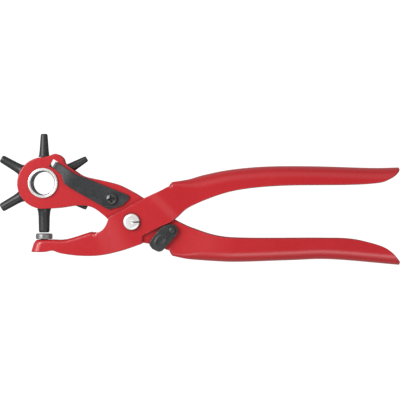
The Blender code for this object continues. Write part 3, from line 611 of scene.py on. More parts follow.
x = np.unique(np.concatenate([x, round_end]))
wheel_arm = folded_sheet(
    "wheel_arm_shell",
    x,
    height_on(arm_low, x),
    height_on(arm_top, x),
    ease(x, web_start - fold_run, web_start - fold_end),
    ease(x, web_start - fold_end, web_start),
    wheel_arm_face,
    tight_bend + (handle_bend - tight_bend) * ease(x, web_start, 40.0 * mm),
    -1,
    red_coat,
)
slot_angle = 61.0
slot_seat = polar(hub, slot_angle, 11.9 * mm)
slot_out = (slot_seat - hub) / np.linalg.norm(slot_seat - hub)
slot_across = np.array([-slot_out[1], slot_out[0]])
scallop_radius = 2.9 * mm
leaf_screw = near_pivot((-11.1, 12.4))
catch_rivet_at = near_pivot((22.1, -4.6))


def slot_corners(width, length=4.6 * mm):
    """The corners of a slot that points at the hub."""
    corners = [(-1, -1), (1, -1), (1, 1), (-1, 1)]
    return [slot_seat + slot_out * a * length / 2 + slot_across * b * width / 2 for a, b in corners]


through = handle_face + 2 * mm
cut(
    wheel_arm,
    [
        rods("barrel_hole", [upright(hub, -through, through)], barrel_hole, 96),
        rods("hinge_hole", [upright(pivot, -through, through)], hinge_hole, 64),
        rods("screw_hole", [upright(leaf_screw, 0.0, through)], screw_hole),
        rods("rivet_hole", [upright(catch_rivet_at, 0.0, through)], rivet_hole),
        block("front_slot", slot_corners(front_slot_width), mid, mid + through),
        block("rear_slot", slot_corners(2 * scallop_radius), mid - through, mid),
    ],
)
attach(wheel_arm, "wheel_arm_body")
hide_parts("wheel_arm")

# ---- Anvil arm
# The arm that carries the anvil: the same sheet, folded round its upper edge for the hand
# and again over the jaw, spread to pass outside the wheel arm's cheeks at the pivot.

jaw_half = 4.75 * mm
anvil_low, anvil_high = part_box("anvil")
anvil_radius = (anvil_high.x - anvil_low.x) / 2
anvil_thick = 3.0 * mm
anvil_top = anvil_high.y
jaw_top_y = anvil_top - anvil_thick - fit
nose_x = hub[0] - 3.1 * mm
jaw_web_end = -21.5 * mm
upper_web_start = 22.4 * mm
kink = near_pivot((-23.3, -5.8))
jaw_sag = 1.6 * mm
jaw_depth = 6.8 * mm
jaw_spread = (5.0 * mm, 24.0 * mm)
hand_spread = (15.2 * mm, 21.6 * mm)
jaw_slant = (0.853, 0.522)
jaw_belly_y = jaw_top_y - jaw_depth
nose_lead = 1.2 * mm
stem_hole = 2.3 * mm
dip = np.array([hub[0], jaw_top_y]) * 0.4 + kink * 0.6 - (0.0, jaw_sag)
jaw_line = np.vstack(
    [
        [(nose_x, jaw_top_y), (hub[0] + 5.0 * mm, jaw_top_y)],
        [(hub[0] + 10.0 * mm, jaw_top_y - 0.1 * mm), dip, kink],
        near_pivot([(-21.5, -5.9), (-17.3, -5.3), (-14.4, -2.6), (-12.9, 0.6), (-12.3, 2.5)]),
    ]
)
shoulder = near_pivot([(-12.3, 2.5), (6.3, 12.6), (17.6, 18.0), (22.3, 21.7)])
hand_top = [(0, 21.8), (0.07, 23.3), (0.14, 25.8), (0.26, 28.7)]
hand_top += [(0.42, 30.4), (0.63, 30.5), (0.88, 29.6), (1, 29.9)]
hand_under = [(0.007, 1.0), (0.025, 2.9), (0.076, 8.1), (0.20, 14.5), (0.32, 18.0)]
hand_under += [(0.50, 19.9), (0.78, 20.3), (0.905, 21.2), (0.955, 23.4), (0.985, 26.0), (1, 28.4)]
belly = np.vstack(
    [
        [(nose_x, jaw_belly_y - 0.1 * mm), (hub[0] + 1.9 * mm, jaw_belly_y)],
        [(hub[0] + 5.2 * mm, jaw_belly_y + 0.7 * mm), (hub[0] + 9.9 * mm, jaw_belly_y - 0.8 * mm)],
        near_pivot([(-28.3, -18.8), (-17.0, -18.5), (-5.5, -15.9), (5.6, -12.1)]),
    ]
)
crotch = near_pivot([(6.1, -7.6), (14.9, -3.1), (20.3, -0.8), (23.2, 1.0)])
top_line = np.vstack(
    [spline(jaw_line)[:-1], spline(shoulder)[:-1], spline(along_handle(upper_web_start, hand_top))]
)
low_line = np.vstack([spline(belly), spline(crotch)[:-1], spline(along_handle(upper_web_start, hand_under))])
nose_round = jaw_half - sheet / 2
nose_start = nose_x + sheet / 2 - nose_lead
x = stations_over(
    nose_start,
    reach,
    [
        (jaw_web_end - rim_depth, jaw_web_end + fold_run, 60),
        (upper_web_start - fold_run, upper_web_start + rim_depth, 60),
        (5.4 * mm, 6.4 * mm, 24),
        (-13.5 * mm, -12.0 * mm, 16),
    ],
)
round_nose = nose_start + nose_round * (1 - np.cos(np.radians(np.arange(0.0, 92.0, 3.0))))
x = np.unique(np.concatenate([x[x > nose_start + nose_round], round_nose]))
fold_left = 1 - ease(x, jaw_web_end + fold_end, jaw_web_end + fold_run)
fold_right = ease(x, upper_web_start - fold_run, upper_web_start - fold_end)
run_left = 1 - ease(x, jaw_web_end, jaw_web_end + fold_end)
run_right = ease(x, upper_web_start - fold_end, upper_web_start)


def anvil_arm_face(px, py):
    """Half width of the arm: narrow at the jaw, wide at the pivot, wider for the hand.

    Each step is eased along a slanted line: the jaw's runs from throat to belly, the
    shoulder's at 45 degrees across the arm."""
    to_nose = -(jaw_slant[0] * px + jaw_slant[1] * py)
    to_hand = 0.707 * (px + py)
    narrow = (plate_face - jaw_half) * ease(to_nose, *jaw_spread)
    face = plate_face - narrow + (handle_face - plate_face) * ease(to_hand, *hand_spread)
    past = np.clip((nose_start + nose_round - px) / nose_round, 0.0, 1.0)
    return sheet / 2 + (face - sheet / 2) * np.sqrt(1 - past**2)


upper_bend = 7.5 * mm
bend = tight_bend + (upper_bend - tight_bend) * ease(x, upper_web_start - 3 * mm, 40.0 * mm)
anvil_arm = folded_sheet(
    "anvil_arm_shell",
    x,
    height_on(top_line, x),
    height_on(low_line, x),
    np.maximum(fold_left, fold_right),
    np.maximum(run_left, run_right),
    anvil_arm_face,
    bend,
    1,
    red_coat,
    closed_start=True,
)


def lean_nose(mesh):
    """Shears the jaw's round nose forwards, more the lower a point is, fading over 9 mm."""
    points = np.empty(len(mesh.vertices) * 3, np.float32)
    mesh.vertices.foreach_get("co", points)
    points = points.reshape(-1, 3)
    below = np.array([0.0, 2.2, 6.1, 7.0]) * mm
    forward = np.array([0.0, 1.5, 2.7, 2.9]) * mm
    shift = np.interp(jaw_top_y - points[:, 1], below, forward)
    points[:, 0] -= shift * (1 - ease(points[:, 0], nose_x, nose_x + 9.0 * mm))
    mesh.vertices.foreach_set("co", points.ravel())
    mesh.update()


lean_nose(anvil_arm.data)
stem_ends = [(hub[0], jaw_top_y + side * 3 * mm, mid) for side in (-1, 1)]
cut(
    anvil_arm,
    [
        rods("hinge_hole", [upright(pivot, -through, through)], hinge_hole, 64),
        rods("stem_hole", [stem_ends], stem_hole),
    ],
)
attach(anvil_arm, "anvil_arm_body")
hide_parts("anvil_arm")

# ---- Turret wheel
# A blackened steel disc between the cheeks: six tapped sockets for the tubes, and six
# scallops in its rim where the index spring drops in.


def rounded(profile, radius, closed=True, steps=5):
    """Replaces the corners of a (radius, height) outline by parabolas that leave both
    sides up to a given distance from the corner, with support points on long sides."""
    p = np.array(profile, float)
    before, after = np.roll(p, 1, 0) - p, np.roll(p, -1, 0) - p
    back, ahead = np.linalg.norm(before, axis=1), np.linalg.norm(after, axis=1)
    a = p + before * (np.minimum(radius, 0.45 * back) / back)[:, None]
    c = p + after * (np.minimum(radius, 0.45 * ahead) / ahead)[:, None]
    t = np.linspace(0.0, 1.0, steps)[None, :, None]
    curve = (1 - t) ** 2 * a[:, None] + 2 * t * (1 - t) * p[:, None] + t**2 * c[:, None]
    curve = curve.reshape(-1, 2)
    if closed:
        curve = np.vstack([curve, curve[:1]])
    else:
        curve = np.vstack([p[:1], curve[steps:-steps], p[-1:]])
    low, high = curve[:-1], curve[1:]
    shares = np.array([0.0, 0.06, 0.5, 0.94])[None, :, None]
    long = np.linalg.norm(high - low, axis=1) > 0.4 * mm
    filled = low[:, None] + (high - low)[:, None] * shares * long[:, None, None]
    return np.vstack([filled.reshape(-1, 2), curve[-1:]])


def turned(name, profile, material, centre, axis=(0, 0, 1), sides=96, cutters=()):
    """Spins a (radius, height) profile round an axis through a centre."""
    axis = np.array(axis, float)
    first = np.cross(axis, (0.0, 1.0, 0.0) if abs(axis[1]) < 0.9 else (1.0, 0.0, 0.0))
    first = first / np.linalg.norm(first)
    second = np.cross(axis, first)
    turn = np.linspace(0.0, 2 * np.pi, sides, endpoint=False)
    spokes = np.cos(turn)[:, None] * first + np.sin(turn)[:, None] * second
    points = np.array(centre) + profile[:, None, :1] * spokes[None] + profile[:, None, 1:] * axis
    quads = grid_faces(len(profile), sides, close_columns=True)
    piece = make_piece(name, points.reshape(-1, 3), quads, material)
    if cutters:
        cut(piece, list(cutters))
    return piece


def make_lathe_group():
    """Rings left by turning: a wave of the distance from an axis, broken up by noise.

    The vector is centred on the axis first; height is the sine of its length."""
    group, given, out = group_with(
        "lathe_rings",
        [
            ("Vector", "NodeSocketVector", None),
            ("Centre", "NodeSocketVector", None),
            ("Rings", "NodeSocketFloat", 22000.0),
        ],
        [("Height", "NodeSocketFloat")],
    )
    links = ((0, given.outputs["Vector"]), (1, given.outputs["Centre"]))
    centred = add_node(group, "ShaderNodeVectorMath", links, operation="SUBTRACT").outputs[0]
    length = add_node(group, "ShaderNodeVectorMath", ((0, centred),), operation="LENGTH").outputs["Value"]
    noise = add_node(group, "ShaderNodeTexNoise", (("Vector", centred), ("Scale", 150.0))).outputs[0]
    wobble = math_node(group, "MULTIPLY", noise, 4.0)
    phase = math_node(group, "ADD", math_node(group, "MULTIPLY", length, given.outputs["Rings"]), wobble)
    group.links.new(math_node(group, "SINE", phase), out.inputs["Height"])
    return group


def make_scratch_group():
    """Fine handling marks: noise stretched along one direction, kept where it peaks.

    The vector is turned and squeezed by its scale; mask is the noise above a threshold."""
    group, given, out = group_with(
        "handling_marks",
        [("Vector", "NodeSocketVector", None), ("Amount", "NodeSocketFloat", 0.5)],
        [("Mask", "NodeSocketFloat")],
    )
    mapping = add_node(group, "ShaderNodeMapping", (("Vector", given.outputs["Vector"]),))
    mapping.inputs["Rotation"].default_value = (0.2, 0.3, 0.6)
    mapping.inputs["Scale"].default_value = (150.0, 3500.0, 900.0)
    noise = add_node(group, "ShaderNodeTexNoise", (("Vector", mapping.outputs[0]), ("Scale", 1.0)))
    noise.inputs["Detail"].default_value = 2.0
    peak = range_of(group, noise.outputs[0], 0.62, 0.72, 0.0, 1.0)
    mask = math_node(group, "MULTIPLY", peak, given.outputs["Amount"])
    group.links.new(mask, out.inputs["Mask"])
    return group


lathe_group = make_lathe_group()
scratch_group = make_scratch_group()


def make_steel(name, dark, light, metallic, rough, fine=1400.0, rings=None, marks=0.5, lift=0.00002):
    """A steel finish: two tones mottled together, handling marks, and lathe rings if any."""
    material, tree, shader, place = start_material(name, metallic)
    mottle = use_group(tree, mottle_group, (("Vector", place), ("Broad Scale", 120.0), ("Fine Scale", fine)))
    tone = range_of(tree, mottle.outputs["Tone"], 0.3, 0.7, 0.0, 1.0)
    body = ramp_between(tree, tone, dark, light)
    scratch = use_group(tree, scratch_group, (("Vector", place), ("Amount", marks)))
    bright = [min(1.0, 1.5 * value) for value in light]
    worn = fade_to(tree, scratch.outputs["Mask"], body, bright)
    tree.links.new(worn, shader.inputs["Base Color"])
    rougher = range_of(tree, mottle.outputs["Tone"], 0.3, 0.7, rough[0], rough[1])
    tree.links.new(rougher, shader.inputs["Roughness"])
    height = mottle.outputs["Height"]
    if rings is not None:
        ring = use_group(tree, lathe_group, (("Vector", place), ("Centre", rings)))
        height = math_node(tree, "ADD", height, math_node(tree, "MULTIPLY", ring.outputs["Height"], 0.1))
    bump_on(tree, shader, height, 0.35, lift)
    return material


black_oxide = make_steel("black_oxide_steel", (0.030, 0.032, 0.032), (0.052, 0.054, 0.054), 0.35, (0.38, 0.5))
tube_angles = (30, 90, 150, 210, 270, 330)
barrel = 6.9 * mm
socket_radius = 3.5 * mm
bore_radius = barrel + fit


def scalloped_radius(turn):
    """The wheel's radius at an angle: its rim, or the near side of a scallop's circle."""
    seat = wheel_radius - 1.0 * mm
    offset = (np.degrees(turn) + 30.0) % 60.0 - 30.0
    offset = np.radians(offset)
    inside = np.clip(scallop_radius**2 - (seat * np.sin(offset)) ** 2, 0.0, None)
    near = seat * np.cos(offset) - np.sqrt(inside)
    return np.where(inside > 0, np.minimum(near, wheel_radius), wheel_radius)


turn = np.linspace(0.0, 2 * np.pi, 720, endpoint=False)
rim_radius = scalloped_radius(turn)
chamfer = 0.5 * mm
wheel_rows = [(None, 1.0, 0.0), (chamfer * 2, 1.0, 0.0), (chamfer, 1.0, 0.0), (0.0, 1.0, chamfer)]
wheel_rows += [(0.0, 1.0, 2 * chamfer), (0.0, -1.0, 2 * chamfer), (0.0, -1.0, chamfer)]
wheel_rows += [(chamfer, -1.0, 0.0), (chamfer * 2, -1.0, 0.0), (None, -1.0, 0.0), (None, 1.0, 0.0)]
rings = []
for inset, face, down in wheel_rows:
    radius = np.full(len(turn), bore_radius) if inset is None else rim_radius - inset
    height = np.full(len(turn), mid + face * (wheel_half - down))
    rings.append(np.column_stack([hub[0] + radius * np.cos(turn), hub[1] + radius * np.sin(turn), height]))
turret_wheel = make_piece(
    "turret_wheel_disc",
    np.vstack(rings),
    grid_faces(len(rings), len(turn), close_columns=True),
    black_oxide,
    sharp=35.0,
)
sockets = []
for angle in tube_angles:
    spoke = polar(np.zeros(2), angle, 1.0)
    near = np.array([*(hub + spoke * (bore_radius - 1.5 * mm)), mid])
    far = np.array([*(hub + spoke * (wheel_radius + 3.0 * mm)), mid])
    sockets.append((near, far))
cut(turret_wheel, [rods("sockets", sockets, socket_radius)])
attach(turret_wheel, "turret")
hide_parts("turret_wheel")

# ---- Hub rivet
# The turret turns on this hollow rivet: a nickel-plated barrel whose two ends are rolled
# out into flanges over the cheeks. Windows in its wall let the cut-out slugs fall through.

nickel = make_steel(
    "nickel_plate", (0.74, 0.735, 0.72), (0.84, 0.835, 0.82), 0.75, (0.30, 0.38), 900.0, marks=0.2
)
rivet_bore = barrel - 0.5 * mm
window_radius = 2.8 * mm


def paint_in_shade(material, share):
    """Paints shade into a material: multiplies its colour by a share that varies over the piece."""
    tree = material.node_tree
    shader = tree.nodes["Principled BSDF"]
    colour = shader.inputs["Base Color"].links[0].from_socket
    shaded_colour = add_node(tree, "ShaderNodeVectorMath", ((0, colour), (1, share)), operation="MULTIPLY")
    tree.links.new(shaded_colour.outputs[0], shader.inputs["Base Color"])


def paint_bore_shade(material, centre, radius):
    """Paints shade into a turned piece near its bore, by distance from its upright axis: the bore's wall is
    darkened as if it lay in shadow.

    The share is 0.12 up to the radius and rises to 1 over the next 0.35 mm."""
    tree = material.node_tree
    place = tree.nodes.new("ShaderNodeTexCoord").outputs["Object"]
    links = ((0, place), (1, (*centre, 0.0)))
    centred = add_node(tree, "ShaderNodeVectorMath", links, operation="SUBTRACT")
    links = ((0, centred.outputs[0]), (1, (1.0, 1.0, 0.0)))
    flat = add_node(tree, "ShaderNodeVectorMath", links, operation="MULTIPLY")
    length = add_node(tree, "ShaderNodeVectorMath", ((0, flat.outputs[0]),), operation="LENGTH")
    start, end = radius + 0.05 * mm, radius + 0.4 * mm
    paint_in_shade(material, range_of(tree, length.outputs["Value"], start, end, 0.12, 1.0))


# Painted shade: the hub rivet's bore wall is darkened in its colour, standing in for the shadow inside it.
paint_bore_shade(nickel, hub, rivet_bore)
flange = barrel + 1.4 * mm
flange_seat = neck_face + fit
flange_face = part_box("hub_rivet")[1].z - mid
half_rivet = [
    (rivet_bore, 0.0),
    (rivet_bore, flange_seat - 0.3 * mm),
    (rivet_bore + 0.35 * mm, flange_face - 0.25 * mm),
    (barrel + 0.35 * mm, flange_face),
    (flange - 0.35 * mm, flange_face - 0.05 * mm),
    (flange, flange_face - 0.45 * mm),
    (flange - 0.15 * mm, flange_seat),
    (barrel, flange_seat),
]
other_half = [(radius, -height) for radius, height in half_rivet[:0:-1]]
windows = []
for angle in tube_angles:
    spoke = polar(np.zeros(2), angle, 1.0)
    near, far = hub + spoke * (rivet_bore - 1.5 * mm), hub + spoke * (barrel + 1.5 * mm)
    windows.append(((near[0], near[1], mid), (far[0], far[1], mid)))
hub_rivet = turned(
    "hub_rivet_barrel",
    rounded(half_rivet + other_half, 0.3 * mm),
    nickel,
    (*hub, mid),
    sides=128,
    cutters=[rods("windows", windows, window_radius)],
)
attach(hub_rivet, "turret")
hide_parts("hub_rivet")

# ---- Punch tubes
# Six hollow steel punches screwed into the wheel, each a collar, a long taper and a
# chamfered cutting edge, hardened and blackened. Their holes run from 2 to 5 mm.

tube_holes = {30: 2.5, 90: 3.0, 150: 3.5, 210: 4.0, 270: 5.0, 330: 2.0}
tube_reach = wheel_radius + 13.5 * mm
collar = wheel_radius + fit
collar_lip = 0.4 * mm
thread_radius = 3.2 * mm
thread_start = bore_radius + 0.4 * mm
tube_black = make_steel(
    "tube_black", (0.018, 0.019, 0.019), (0.032, 0.033, 0.033), 0.35, (0.34, 0.46), 1800.0
)
for angle, hole in tube_holes.items():
    bore = hole * mm / 2
    outside = max(2.8 * mm, bore + 0.9 * mm)
    profile = [
        (bore, tube_reach),
        (bore + 0.15 * mm, tube_reach),
        (bore + 0.45 * mm, tube_reach - 0.9 * mm),
        (outside - 0.25 * mm, collar + 4.0 * mm),
        (outside, collar + 1.6 * mm),
        (outside + collar_lip, collar + 0.5 * mm),
        (outside + collar_lip, collar),
        (thread_radius, collar),
        (thread_radius, thread_start),
        (bore + 0.2 * mm, thread_start),
        (bore + 0.2 * mm, tube_reach - 4.0 * mm),
        (bore, tube_reach - 3.0 * mm),
    ]
    spoke = polar(np.zeros(2), angle, 1.0)
    name = f"tube_{hole:.1f}mm".replace(".", "_")
    tube = turned(name, rounded(profile, 0.3 * mm), tube_black, (*hub, mid), (*spoke, 0.0), 72)
    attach(tube, "turret")
    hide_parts(f"punch_{name}")

# ---- Anvil
# A ground steel button that the tubes close on, with its stem riveted through the jaw.

ground = make_steel(
    "ground_steel",
    (0.22, 0.222, 0.225),
    (0.29, 0.293, 0.296),
    0.8,
    (0.34, 0.42),
    700.0,
    rings=(hub[0], anvil_top, mid),
    marks=0.2,
)
stem = 2.0 * mm
tail = jaw_top_y - sheet - fit
anvil_profile = [
    (0.0, anvil_top),
    (anvil_radius - 0.5 * mm, anvil_top),
    (anvil_radius, anvil_top - 0.5 * mm),
    (anvil_radius, anvil_top - anvil_thick + 0.25 * mm),
    (anvil_radius - 0.25 * mm, anvil_top - anvil_thick),
    (stem, anvil_top - anvil_thick),
    (stem, tail),
    (stem + 0.6 * mm, tail),
    (stem + 0.4 * mm, tail - 0.6 * mm),
    (0.0, tail - 0.8 * mm),
]
anvil = turned("anvil_button", rounded(anvil_profile, 0.2 * mm, False), ground, (hub[0], 0.0, mid), (0, 1, 0))
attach(anvil, "anvil_arm_body")
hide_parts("anvil")

# ---- Index spring
# A blued leaf screwed to the front cheek. It bows a little off the cheek, and its tip is
# bent down through the slot, where it drops into the wheel's scallops.

leaf = 0.9 * mm
leaf_toward = slot_seat - leaf_screw
leaf_length = np.linalg.norm(leaf_toward)
leaf_along = leaf_toward / leaf_length
leaf_up = np.array([leaf_along[1], -leaf_along[0]])
leaf_level = neck_face + fit + leaf / 2


def in_leaf(pairs):
    """Shares of the length and offsets in millimetres, as distances in metres."""
    pairs = np.array(pairs, float)
    return np.column_stack([pairs[:, 0] * leaf_length, pairs[:, 1] * mm])


upper_pairs = [(-0.225, 5.4), (-0.19, 6.7), (0.19, 4.4), (0.47, 2.8)]
upper_pairs += [(0.65, 1.6), (0.84, 1.9), (0.93, 2.0)]
lower_pairs = [(-0.225, 5.2), (-0.19, 0.1), (-0.06, -5.4), (0.0, -5.8), (0.25, -6.1), (0.44, -6.3)]
lower_pairs += [(0.66, -6.2), (0.74, -5.3), (0.80, -3.2), (0.88, -2.4), (0.93, -2.0)]
leaf_upper, leaf_lower = in_leaf(upper_pairs), in_leaf(lower_pairs)
leaf_bend = 0.962 * leaf_length
leaf_turn = 0.55 * mm
leaf_drop = leaf_level - leaf_turn - wheel_half - 0.1 * mm
leaf_end = leaf_bend + leaf_turn * np.pi / 2 + leaf_drop
upper_edge = np.vstack([leaf_upper[:2], spline(leaf_upper[1:], 8)[1:], [(leaf_end, 1.9 * mm)]])
lower_edge = np.vstack([leaf_lower[:3], spline(leaf_lower[2:], 8)[1:], [(leaf_end, -1.5 * mm)]])


def flat_plate(name, x, low, high, thick, lift, place, material, columns=24):
    """A plate with rounded rims between two edges; lift raises its middle surface, and
    place turns station, place across and height into points of the frame."""
    along, across, inward = rim_grid(x, low, high, columns)
    share = thick / 2 * thickness_share(inward)
    level = lift(along, across)
    points, quads = [], []
    for outward in (1.0, -1.0):
        quads.append(grid_faces(*along.shape, len(points) * along.size, outward < 0))
        points.append(place(along, across, level + outward * share).reshape(-1, 3))
    return make_piece(name, np.vstack(points), np.vstack(quads), material, np.tile(inward.ravel(), 2))


def leaf_place(along, across, height):
    """Bends the leaf down past the bend line: a quarter turn, then straight down."""
    past = np.clip((along - leaf_bend) / leaf_turn, 0.0, np.pi / 2)
    below = np.maximum(along - leaf_bend - leaf_turn * np.pi / 2, 0.0)
    out = np.minimum(along, leaf_bend) + (leaf_turn + height) * np.sin(past)
    rise = (leaf_turn + height) * np.cos(past) - leaf_turn - below
    flat = leaf_screw + out[..., None] * leaf_along + across[..., None] * leaf_up
    return np.concatenate([flat, (mid + leaf_level + rise)[..., None]], -1)


def leaf_lift(along, across):
    """The bow: a raised cosine that is flat under the screw and back down at the bend."""
    share = np.clip((along - 0.15 * leaf_length) / (leaf_bend - 0.15 * leaf_length), 0.0, 1.0)
    return 0.8 * mm * (1 - np.cos(2 * np.pi * share**1.4)) / 2


x = stations_over(leaf_upper[0, 0], leaf_end, [(leaf_bend - 0.2 * mm, leaf_bend + 1.1 * mm, 20)], 0.5 * mm)
spring_black = make_steel(
    "spring_black", (0.034, 0.036, 0.037), (0.058, 0.061, 0.063), 0.5, (0.30, 0.42), 1100.0, marks=0.7
)
index_spring = flat_plate(
    "index_spring_leaf",
    x,
    -height_on(lower_edge, x),
    -height_on(upper_edge, x),
    leaf,
    leaf_lift,
    lambda along, across, height: leaf_place(along, -across, height),
    spring_black,
)
cut(index_spring, [rods("screw_hole", [upright(leaf_screw, 0.0, through)], screw_hole)])
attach(index_spring, "wheel_arm_body")
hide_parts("index_spring")

# ---- Index spring screw
# A black pan-head screw with a cross recess. It clamps the leaf to the front cheek and
# runs into a plain steel spacer that keeps the two cheeks apart.

screw_seat = neck_face + fit + leaf + fit
screw_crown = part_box("index_spring_screw")[1].z - mid
screw_head = 3.4 * mm
screw_profile = [
    (0.0, screw_crown),
    (1.3 * mm, screw_crown - 0.05 * mm),
    (2.4 * mm, screw_crown - 0.35 * mm),
    (3.1 * mm, screw_crown - 0.85 * mm),
    (screw_head, screw_crown - 1.35 * mm),
    (screw_head, screw_seat),
    (1.5 * mm, screw_seat),
    (1.5 * mm, -wheel_half / 2),
    (0.0, -wheel_half / 2),
]
recess_turn = 12.0


def cross_cutter():
    """Two crossing blocks and a round rod at their middle, for a cross recess."""
    cutters = []
    for turn_by in (recess_turn, recess_turn + 90.0):
        out = polar(np.zeros(2), turn_by, 1.0)
        aside = np.array([-out[1], out[0]])
        signs = [(-1, -1), (1, -1), (1, 1), (-1, 1)]
        corners = [leaf_screw + out * a * 2.1 * mm + aside * b * 0.5 * mm for a, b in signs]
        cutters.append(block("recess", corners, mid + screw_crown - 1.1 * mm, mid + screw_crown + 1.0 * mm))
    root = upright(leaf_screw, screw_crown - 1.3 * mm, screw_crown + 1 * mm)
    cutters.append(rods("recess_root", [root], 0.85 * mm))
    return cutters


screw_black = make_steel(
    "screw_black", (0.050, 0.050, 0.052), (0.085, 0.085, 0.088), 0.6, (0.20, 0.28), marks=0.7
)
index_screw = turned(
    "index_screw_head",
    rounded(screw_profile, 0.25 * mm, False),
    screw_black,
    (*leaf_screw, mid),
    cutters=cross_cutter(),
)
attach(index_screw, "wheel_arm_body")
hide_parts("index_spring_screw")
plain_steel = make_steel("plain_steel", (0.26, 0.26, 0.265), (0.38, 0.38, 0.385), 1.0, (0.34, 0.46), 1300.0)

# ---- Pivot screw and nut
# The hinge is a nickel-plated shoulder screw with a slotted, dimpled head, drawn up in a
# sleeve nut whose flat head closes the back and is what the tool rests on.

pivot_seat = plate_face + fit
pivot_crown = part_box("pivot_screw")[1].z - mid
pivot_head = 4.6 * mm
shank, stub = 3.0 * mm, 2.0 * mm
pivot_profile = [
    (0.0, pivot_crown - 0.3 * mm),
    (0.7 * mm, pivot_crown - 0.25 * mm),
    (1.1 * mm, pivot_crown),
    (3.4 * mm, pivot_crown - 0.08 * mm),
    (4.2 * mm, pivot_crown - 0.45 * mm),
    (pivot_head, pivot_crown - 1.0 * mm),
    (pivot_head, pivot_seat),
    (shank, pivot_seat),
    (shank, -wheel_half - fit),
    (stub, -wheel_half - fit),
    (stub, -plate_face + fit),
    (0.0, -plate_face + fit),
]
groove = [(0.3 * mm, -0.42 * mm), (5.2 * mm, -0.55 * mm), (5.2 * mm, 0.35 * mm), (0.3 * mm, 0.12 * mm)]
pivot_nickel = make_steel(
    "pivot_nickel", (0.72, 0.715, 0.70), (0.82, 0.815, 0.80), 0.6, (0.34, 0.42), 700.0, marks=0.3
)
pivot_screw = turned(
    "pivot_screw_head",
    rounded(pivot_profile, 0.2 * mm, False),
    pivot_nickel,
    (0.0, 0.0, mid),
    cutters=[block("groove", groove, mid + pivot_crown - 1.7 * mm, mid + pivot_crown + 1.0 * mm)],
)


def paint_shade_below(material, level):
    """Paints shade into what lies deeper than a level, as shadow falls in a slot.

    The share is 0.1 below the level and rises to 1 over the next 0.2 mm."""
    tree = material.node_tree
    place = tree.nodes.new("ShaderNodeTexCoord").outputs["Object"]
    height = add_node(tree, "ShaderNodeSeparateXYZ", ((0, place),)).outputs["Z"]
    paint_in_shade(material, range_of(tree, height, level, level + 0.2 * mm, 0.1, 1.0))


# Painted shade: a darkened copy of the pivot nickel, dark below a level, in the slot and on the head's side.
nickel_painted_slot_shade = pivot_nickel.copy()
nickel_painted_slot_shade.name = "nickel_painted_slot_shade"
paint_shade_below(nickel_painted_slot_shade, mid + pivot_crown - 0.85 * mm)
pivot_screw.material_slots[0].material = nickel_painted_slot_shade
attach(pivot_screw, "anvil_arm_body")
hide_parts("pivot_screw")
nut_mouth = -wheel_half - fit - fit
nut_head = 5.5 * mm
nut_chamfer = 0.3 * mm
nut_profile = [
    (0.0, -plate_face),
    (stub + fit, -plate_face),
    (stub + fit, nut_mouth),
    (shank, nut_mouth),
    (shank, -plate_face - fit),
    (nut_head, -plate_face - fit),
    (nut_head, -handle_face + nut_chamfer),
    (nut_head - nut_chamfer, -handle_face),
    (0.0, -handle_face),
]
pivot_nut = turned("pivot_nut_head", rounded(nut_profile, 0.12 * mm, False), pivot_nickel, (0.0, 0.0, mid))
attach(pivot_nut, "anvil_arm_body")
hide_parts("pivot_nut")

# ---- Opening spring
# A torsion spring of bright wire, four turns round a sleeve on the pivot. One leg bears
# on each handle's web from inside, and pushes the handles apart.

wire = 0.7 * mm
sleeve_wall = 0.7 * mm
coil = shank + fit + sleeve_wall + fit + wire
coil_lift = wheel_half - wire
turns = 4
leg_gap = sheet + fit + wire + 2 * fit
upper_leg = np.array([32.0 * mm, height_on(top_line, 32.0 * mm) - leg_gap])
lower_leg = np.array([30.0 * mm, height_on(arm_low, 30.0 * mm) + leg_gap])


def swept(name, path, radius, material, sides=20):
    """A round wire along a path: rings square to it, closed at both ends by half balls."""
    ahead = np.gradient(path, axis=0)
    ahead = ahead / np.linalg.norm(ahead, axis=1, keepdims=True)
    cap = np.linspace(0.0, np.pi / 2, 6)
    start = path[0] - ahead[0] * radius * np.cos(cap)[:, None]
    end = path[-1] + ahead[-1] * radius * np.cos(cap[::-1])[:, None]
    line = np.vstack([start, path[1:-1], end])
    heading = np.vstack([np.tile(ahead[0], (6, 1)), ahead[1:-1], np.tile(ahead[-1], (6, 1))])
    widths = np.concatenate([np.sin(cap), np.ones(len(path) - 2), np.sin(cap[::-1])]) * radius
    side = np.cross(heading, (0.0, 0.0, 1.0))
    side = side / np.linalg.norm(side, axis=1, keepdims=True)
    up = np.cross(side, heading)
    turn = np.linspace(0.0, 2 * np.pi, sides, endpoint=False)
    ring = np.cos(turn)[None, :, None] * side[:, None] + np.sin(turn)[None, :, None] * up[:, None]
    points = line[:, None] + widths[:, None, None] * ring
    return make_piece(name, points.reshape(-1, 3), grid_faces(len(line), sides, close_columns=True), material)


def coil_angle(point, sense):
    """Where a straight leg from the point touches the coil."""
    return np.arctan2(point[1], point[0]) + sense * np.arccos(coil / np.linalg.norm(point))


first_turn = coil_angle(lower_leg, 1)
last_turn = coil_angle(upper_leg, -1) + 2 * np.pi * turns
turn = np.linspace(first_turn, last_turn, 48 * turns)
rise = np.linspace(-coil_lift, coil_lift, len(turn))
helix = np.column_stack([coil * np.cos(turn), coil * np.sin(turn), rise])
leg = np.linspace(0.0, 1.0, 16)[:-1, None]
lower_start = np.array([*lower_leg, -coil_lift])
upper_end = np.array([*upper_leg, coil_lift])
lower_run = lower_start + (helix[0] - lower_start) * leg
upper_run = upper_end + (helix[-1] - upper_end) * leg
wire_path = np.vstack([lower_run, helix, upper_run[::-1]])
bright_wire = make_steel("bright_wire", (0.34, 0.34, 0.345), (0.50, 0.50, 0.505), 1.0, (0.24, 0.34), 1700.0)
opening_spring = swept("opening_spring_wire", wire_path + (0.0, 0.0, mid), wire, bright_wire)
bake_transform(opening_spring)
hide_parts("opening_spring")

# ---- Catch
# A blackened plate on a rivet, swung by the thumb to hold the handles shut. Its boss is
# pressed up with a hollow in the middle for the thumb.

